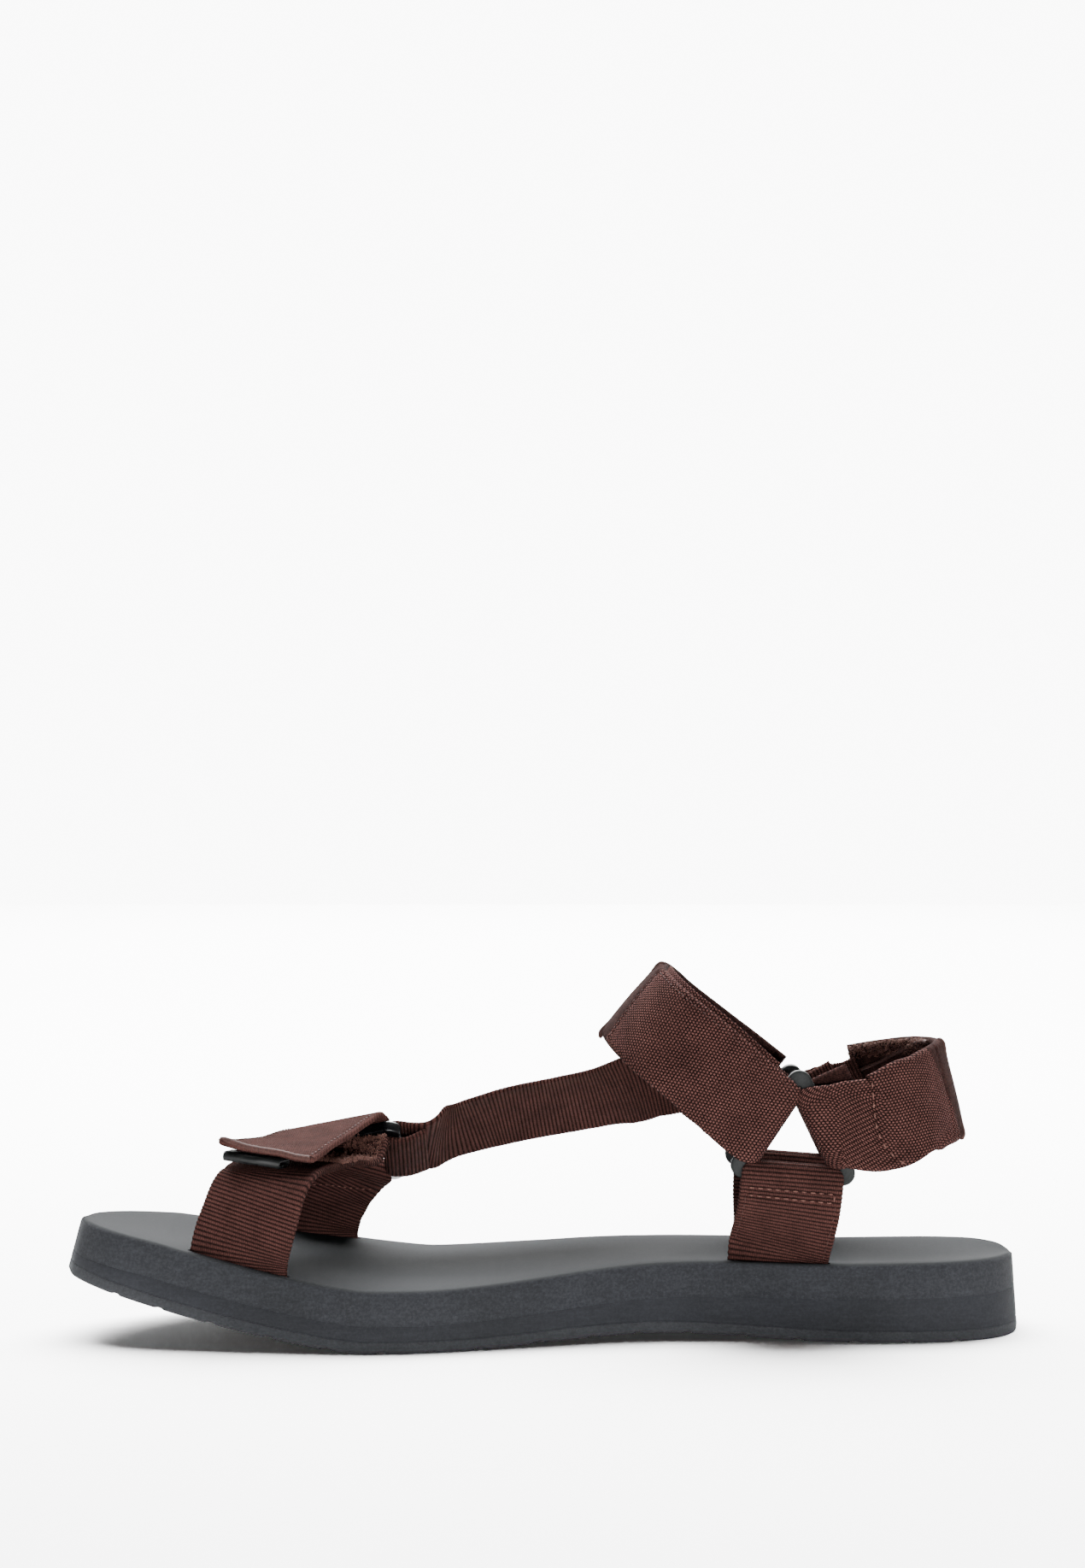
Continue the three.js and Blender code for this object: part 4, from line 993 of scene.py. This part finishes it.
# %% Connecting strap
LINK = [(0.399, 0.635, 0.497, (-0.14, -0.81, 0.57), -1.5), (0.451, 0.650, 0.540, (-0.15, -0.77, 0.62), -2),
        (0.515, 0.655, 0.572, (-0.16, -0.76, 0.62), -2), (0.568, 0.640, 0.598, (-0.17, -0.72, 0.67), -1.5),
        (0.617, 0.572, 0.616, (-0.20, -0.42, 0.89), -0.6), (0.660, 0.520, 0.632, (-0.22, 0.00, 0.97))]
link_loop, link_free = bar_loop(TOE_RING, 0, 1.6, 15, -1)[::-1], rows(LINK, INSTEP)
link_way = unit(0.65 * link_loop[0][3:6] + 0.35 * link_free[0][3:6])
link_keys = [sewn_ply(TOE_RING, 0, 1.6, 15, -1, link_way)] + link_loop
link_keys += [sewn_ply(TOE_RING, 0, 1.6, 15, 1, link_way)] + link_free
LINK_ROWS = [(13.0, 24.0, -13.0, 23.4), (13.0, 27.2, -13.0, 26.6)]
link_trim = by_table([(0, 0.0, -4.2), (10, 0.0, -3.8), (14, 0.0, -1.2), (20, -0.4, -0.6), (25, -0.8, -1.2), (31, 1.2, -1.6), (37, 0.8, -1.8),
                      (44, -0.2, -0.4), (52, -0.8, 0.0), (62, -0.3, 0.0), (70, 0.0, 0.0), (84, 0.0, 0.0), (94, 0.0, -2.0), (104, 0.0, -6.0), (117, 0.0, -8.0)])
link, link_line = lay_strap(link_keys, WEB["thickness"], 0.26, sewn(rib_relief(), [(*row, 0.35, 0.7, 1) for row in LINK_ROWS]), scallop=0.10,
                            trim=link_trim)
finish_piece(link, "connecting_band", webbing, ["connecting_strap"])
stitch_rows("connecting_stitches", link_line, 1, LINK_ROWS, brown_thread)

# %% Tabs of the outer ring
ankle_tab_keys = [ply_end(OUTER_RING, 1, 9, 2.0, 15, 1)] + bar_loop(OUTER_RING, 1, 2.0, 15, 1)[::-1]
ankle_tab_keys += rows([(0.690, 0.646, 0.640, (0.59, 0.00, 0.81)), (0.655, 0.622, 0.712, (0.60, 0.00, 0.80))], INSTEP)
ankle_tab, _ = lay_strap(ankle_tab_keys, WEB["tab"], 0.26, rib_relief(), scallop=0.10)
finish_piece(ankle_tab, "outer_ankle_tab", webbing, ["ankle_tab"])
heel_tab_keys = [ply_end(OUTER_RING, 2, 9, 2.0, 13.8, -1)] + bar_loop(OUTER_RING, 2, 2.0, 13.8, -1)[::-1]
heel_tab_keys += rows([(0.836, 0.648, 0.735, (-0.36, 0.00, 0.93)), (0.857, 0.608, 0.765, (-0.33, 0.00, 0.944))], HEEL_HEIGHT, 13.8)
heel_tab, _ = lay_strap(heel_tab_keys, WEB["tab"], 0.26, rib_relief(), scallop=0.10)
finish_piece(heel_tab, "outer_heel_tab", webbing, ["heel_tab"])

# %% [markdown]
# ## The padded sleeves
# The instep strap and the heel strap are tubes of canvas over thin foam. A stuffed band has full,
# rounded edges and shallow creases where it bends, and it is drawn in where a seam crosses it.

# %% Ankle sleeve
ANKLE = [(0.660, -0.625, 0.742, (0.60, 0.00, 0.80), -0.5), (0.619, -0.520, 0.826, (0.60, 0.03, 0.80), -0.6),
         (0.599, -0.290, 0.872, (0.63, 0.02, 0.77), -0.8), (0.594, 0.000, 0.889, (0.654, 0.00, 0.757), -0.8),
         (0.599, 0.290, 0.872, (0.63, -0.02, 0.77), -0.8), (0.618, 0.540, 0.820, (0.60, -0.03, 0.80), -0.6),
         (0.660, 0.685, 0.737, (0.60, 0.00, 0.80), -0.5), (0.698, 0.705, 0.664, (0.60, 0.00, 0.80)),
         (0.731, 0.705, 0.598, (0.59, 0.00, 0.81))]


def soft_relief(seed, depth=0.25):
    """Low uneven swellings of a stuffed band."""
    rng = np.random.default_rng(seed)
    waves = [(rng.uniform(0.05, 0.22), rng.uniform(-0.12, 0.12), rng.uniform(0, 6.28), rng.uniform(0.4, 1)) for _ in range(9)]

    def relief(u, v, side):
        total = sum(a * np.sin(kv * v + ku * u + p + side) for kv, ku, p, a in waves)
        gathers = np.exp(-(((13.6 - np.abs(u)) / 1.8) ** 2)) * np.sin(2.1 * v + 1.5 * np.sin(0.31 * v) + np.sign(u))
        return depth * total / 3 + 0.14 * gathers
    return relief


# the canvas ends on the instep, where the smooth cloth begins; a second seam runs along the upper edge
ANKLE_SEAMS = [(13.5, 87.5, -13.8, 83.0, 0.45, 0.8, -1), (12.0, 24.0, 12.4, 86.0, 0.3, 0.6, -1)]
ankle_trim = by_table([(0, 0.0, -3.0), (13, 0.0, -2.6), (19, 0.0, 0.0), (92, 0.0, 0.0), (106, 1.2, 0.0), (124, 2.2, 0.0), (150, 1.6, 0.0), (172, 1.4, 0.0)])
ankle_keys = [ply_end(INNER_RING, 2, 11, 3.2, 14.1, -1)] + bar_loop(INNER_RING, 2, 3.2, 14.1, -1)[::-1] + rows(ANKLE, INSTEP, 14.1)
ankle_sleeve, ankle_line = lay_strap(ankle_keys, WEB["pad"], 0.45, sewn(soft_relief(3), ANKLE_SEAMS), edge=1.6, section=26, end_round=1.5,
                                     softness=2.0, even_at=60, trim=ankle_trim)
finish_piece(ankle_sleeve, "ankle_sleeve", ankle_canvas, ["ankle_strap"])
stitch_rows("ankle_seam_stitches", ankle_line, -1, [ANKLE_SEAMS[0][:4]], brown_thread, length=1.3, gap=0.6, thick=0.4)
stitch_rows("ankle_edge_stitches", ankle_line, -1, [ANKLE_SEAMS[1][:4]], brown_thread, length=1.2, gap=0.5, thick=0.35)
hem_cord("instep_hem", ankle_line, -1, [(-14.9, 96.0, -1.1), (-13.8, 96.4, 0.0), (-9.0, 96.7, -0.5), (9.0, 97.2, -0.5), (13.6, 97.6, 0.0), (14.7, 98.0, -1.1)],
         0.7, hem_cloth)

# %% Lining and hook tape of the ankle sleeve
def band_on(name, line, side, marks, width, thick, lift, material, nodes=()):
    """A thin band laid on a strap along places (u, v)."""
    marks = spline(marks, 10)
    place, normal = on_strap(line, marks[:, 0], marks[:, 1], side, lift)
    way = np.stack([np.interp(marks[:, 1], line["v"], line["way"][:, c]) for c in range(3)], 1)
    band, _ = lay_strap([key(c, w, width / 2) for c, w in zip(place, way)], thick, 0.4, rib_relief(0.05, 0.7), edge=thick * 0.5, section=12, softness=1.0)
    return finish_piece(band, name, material, nodes)


hook_tape = thread_material("hook_tape", tone(12, 11, 9), tone(26, 23, 20))
band_on("ankle_lining", ankle_line, 1, [(1.4, 34.0), (1.3, 60.0), (1.2, 96.0)], 28.6, 1.0, 0.6, ankle_canvas)
band_on("ankle_hook_tape", ankle_line, -1, [(13.4, 141.0), (13.2, 152.0), (13.2, 162.0)], 3.6, 0.8, 0.5, hook_tape)

# %% Heel sleeve
HEEL = [(0.851, -0.640, 0.728, (-0.33, 0.00, 0.944), 0.5), (0.880, -0.565, 0.800, (-0.27, 0.00, 0.96), 0.6),
        (0.901, -0.420, 0.840, (-0.21, 0.00, 0.98), 0.6), (0.919, -0.220, 0.842, (-0.22, 0.00, 0.975), 0.6),
        (0.926, 0.000, 0.842, (-0.24, 0.00, 0.97), 0.6), (0.919, 0.230, 0.838, (-0.22, 0.00, 0.975), 0.6),
        (0.900, 0.450, 0.828, (-0.21, 0.00, 0.98), 0.6), (0.872, 0.622, 0.808, (-0.28, 0.00, 0.96)),
        (0.841, 0.704, 0.787, (-0.33, 0.00, 0.944))]
HEEL_SEAMS = [(14.0, 35.6, -11.8, 45.4, 0.9, 0.8, 1), (13.0, 71.0, -13.0, 73.0, 0.35, 0.8, 1)]
heel_keys = [ply_end(INNER_RING, 1, 11, 3.2, 13.8, 1)] + bar_loop(INNER_RING, 1, 3.2, 13.8, 1)[::-1] + rows(HEEL, HEEL_HEIGHT, 13.8)
for near in heel_keys[len(heel_keys) - len(HEEL):]:
    near[6] += 0.7
heel_trim = by_table([(22, 0.0, 0.0), (26, -1.4, 0.0), (29, -2.8, -0.3), (33, -1.0, -0.8), (37, 0.9, -1.3), (44, 2.0, -2.4),
                      (50, 2.4, -1.2), (56, 0.8, 0.8), (61, -1.0, 2.0), (67, -1.2, 2.2), (74, -0.3, 1.8), (82, 0.2, 1.1), (92, 0.0, 0.5), (104, 0.0, 0.0)])
heel_sleeve, heel_line = lay_strap(heel_keys, WEB["pad"], 0.45, sewn(soft_relief(5), HEEL_SEAMS), edge=1.6, section=26, end_round=1.5,
                                   softness=2.0, trim=heel_trim, even_at=55)
finish_piece(heel_sleeve, "heel_sleeve", heel_canvas, ["heel_strap"])
stitch_rows("heel_seam_stitches", heel_line, 1, [HEEL_SEAMS[0][:4]], pale_thread, length=1.9, gap=1.0, thick=0.56)
hem_cord("heel_hem", heel_line, 1, [(-15.9, 82.0, -1.1), (-14.8, 82.3, 0.0), (-9.0, 82.6, -0.5), (9.0, 83.6, -0.5), (13.6, 84.0, 0.0), (14.7, 84.6, -1.1)],
         0.7, hem_cloth)
hem_cord("heel_piping", heel_line, -1, [(13.6, 96.0, 0.1), (13.0, 106.0, 0.2), (9.6, 120.0, 0.2), (6.0, 136.0, 0.2)], 0.6, brown_thread)
loop_pile("heel_loop_pile", heel_line, -1, (10.0, 14.2, 100, 137), 520, pile_thread, 12)

# %% [markdown]
# ## The rubber pull loop
# A short folded strip of black rubber sits under the front half of the flap's free end, to pull it open.

# %% Pull loop
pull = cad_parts["toe_pull_loop"].copy()
pull.data = pull.data.copy()
bpy.context.collection.objects.link(pull)
use(pull)
in_edit_mode(lambda: bpy.ops.mesh.remove_doubles(threshold=0.000002))
finish_piece(pull, "pull_loop", black_rubber, ["toe_pull_loop"], angle=35)

# %% [markdown]
# ## Floor, light and camera
# The shoe stands on a plain pale floor under broad, soft light, as in a small product studio. The
# camera stands low at the inner side, level, a little more than a metre away.

# %% Studio
clear_selection()
bpy.ops.mesh.primitive_plane_add(size=6, location=(0, 0, 0))
ground = bpy.context.object
ground.name = "studio_floor"
paper = Recipe("pale_paper")
ground.data.materials.append(paper.done((0.88, 0.88, 0.88, 1), 0.9))

world = bpy.data.worlds.new("soft_room")
world.use_nodes = True
room = world.node_tree
background = room.nodes["Background"]
direction = room.nodes.new("ShaderNodeTexCoord").outputs[0]
split = room.nodes.new("ShaderNodeSeparateXYZ")
room.links.new(direction, split.inputs[0])
card = room.nodes.new("ShaderNodeMapRange")
for socket, value in zip(card.inputs[1:5], (0.92, 0.975, 0.02, 10.0)):
    socket.default_value = value
card.interpolation_type = "SMOOTHSTEP"
room.links.new(split.outputs[1], card.inputs[0])
room.links.new(card.outputs[0], background.inputs["Strength"])
background.inputs["Color"].default_value = (1, 1, 1, 1)
bpy.context.scene.world = world


def lamp(name, place, target, size, power, height=None):
    clear_selection()
    bpy.ops.object.light_add(type="AREA", location=place)
    light = bpy.context.object
    light.name = name
    light.data.shape = "RECTANGLE"
    light.data.size, light.data.size_y = size, height or size
    light.data.energy = power
    light.rotation_euler = (Vector(target) - Vector(place)).to_track_quat("-Z", "Y").to_euler()
    return light


lamp("front_fill", (0.3, -2.2, 0.04), (0, 0, 0.05), 1.6, 100, 0.05)
lamp("top_light", (0.0, 0.55, 1.37), (0, 0, 0.0), 1.7, 225, 0.95)
lamp("back_light", (0.0, 2.5, 1.7), (0, 2.7, 0.0), 2.6, 700)

# %% Camera
FOCAL, IMAGE_W, IMAGE_H, CENTRE_X, HORIZON = 4400, 1270, 1835, 635, 872
clear_selection()
bpy.ops.object.camera_add(location=(-0.001, -1.133, 0.175), rotation=(math.pi / 2, 0, 0))
camera = bpy.context.object
camera.data.sensor_fit = "VERTICAL"
camera.data.sensor_height = 36
camera.data.lens = FOCAL / IMAGE_H * 36
camera.data.shift_x = (IMAGE_W / 2 - CENTRE_X) / IMAGE_H
camera.data.shift_y = -(IMAGE_H / 2 - HORIZON) / IMAGE_H
bpy.context.scene.camera = camera
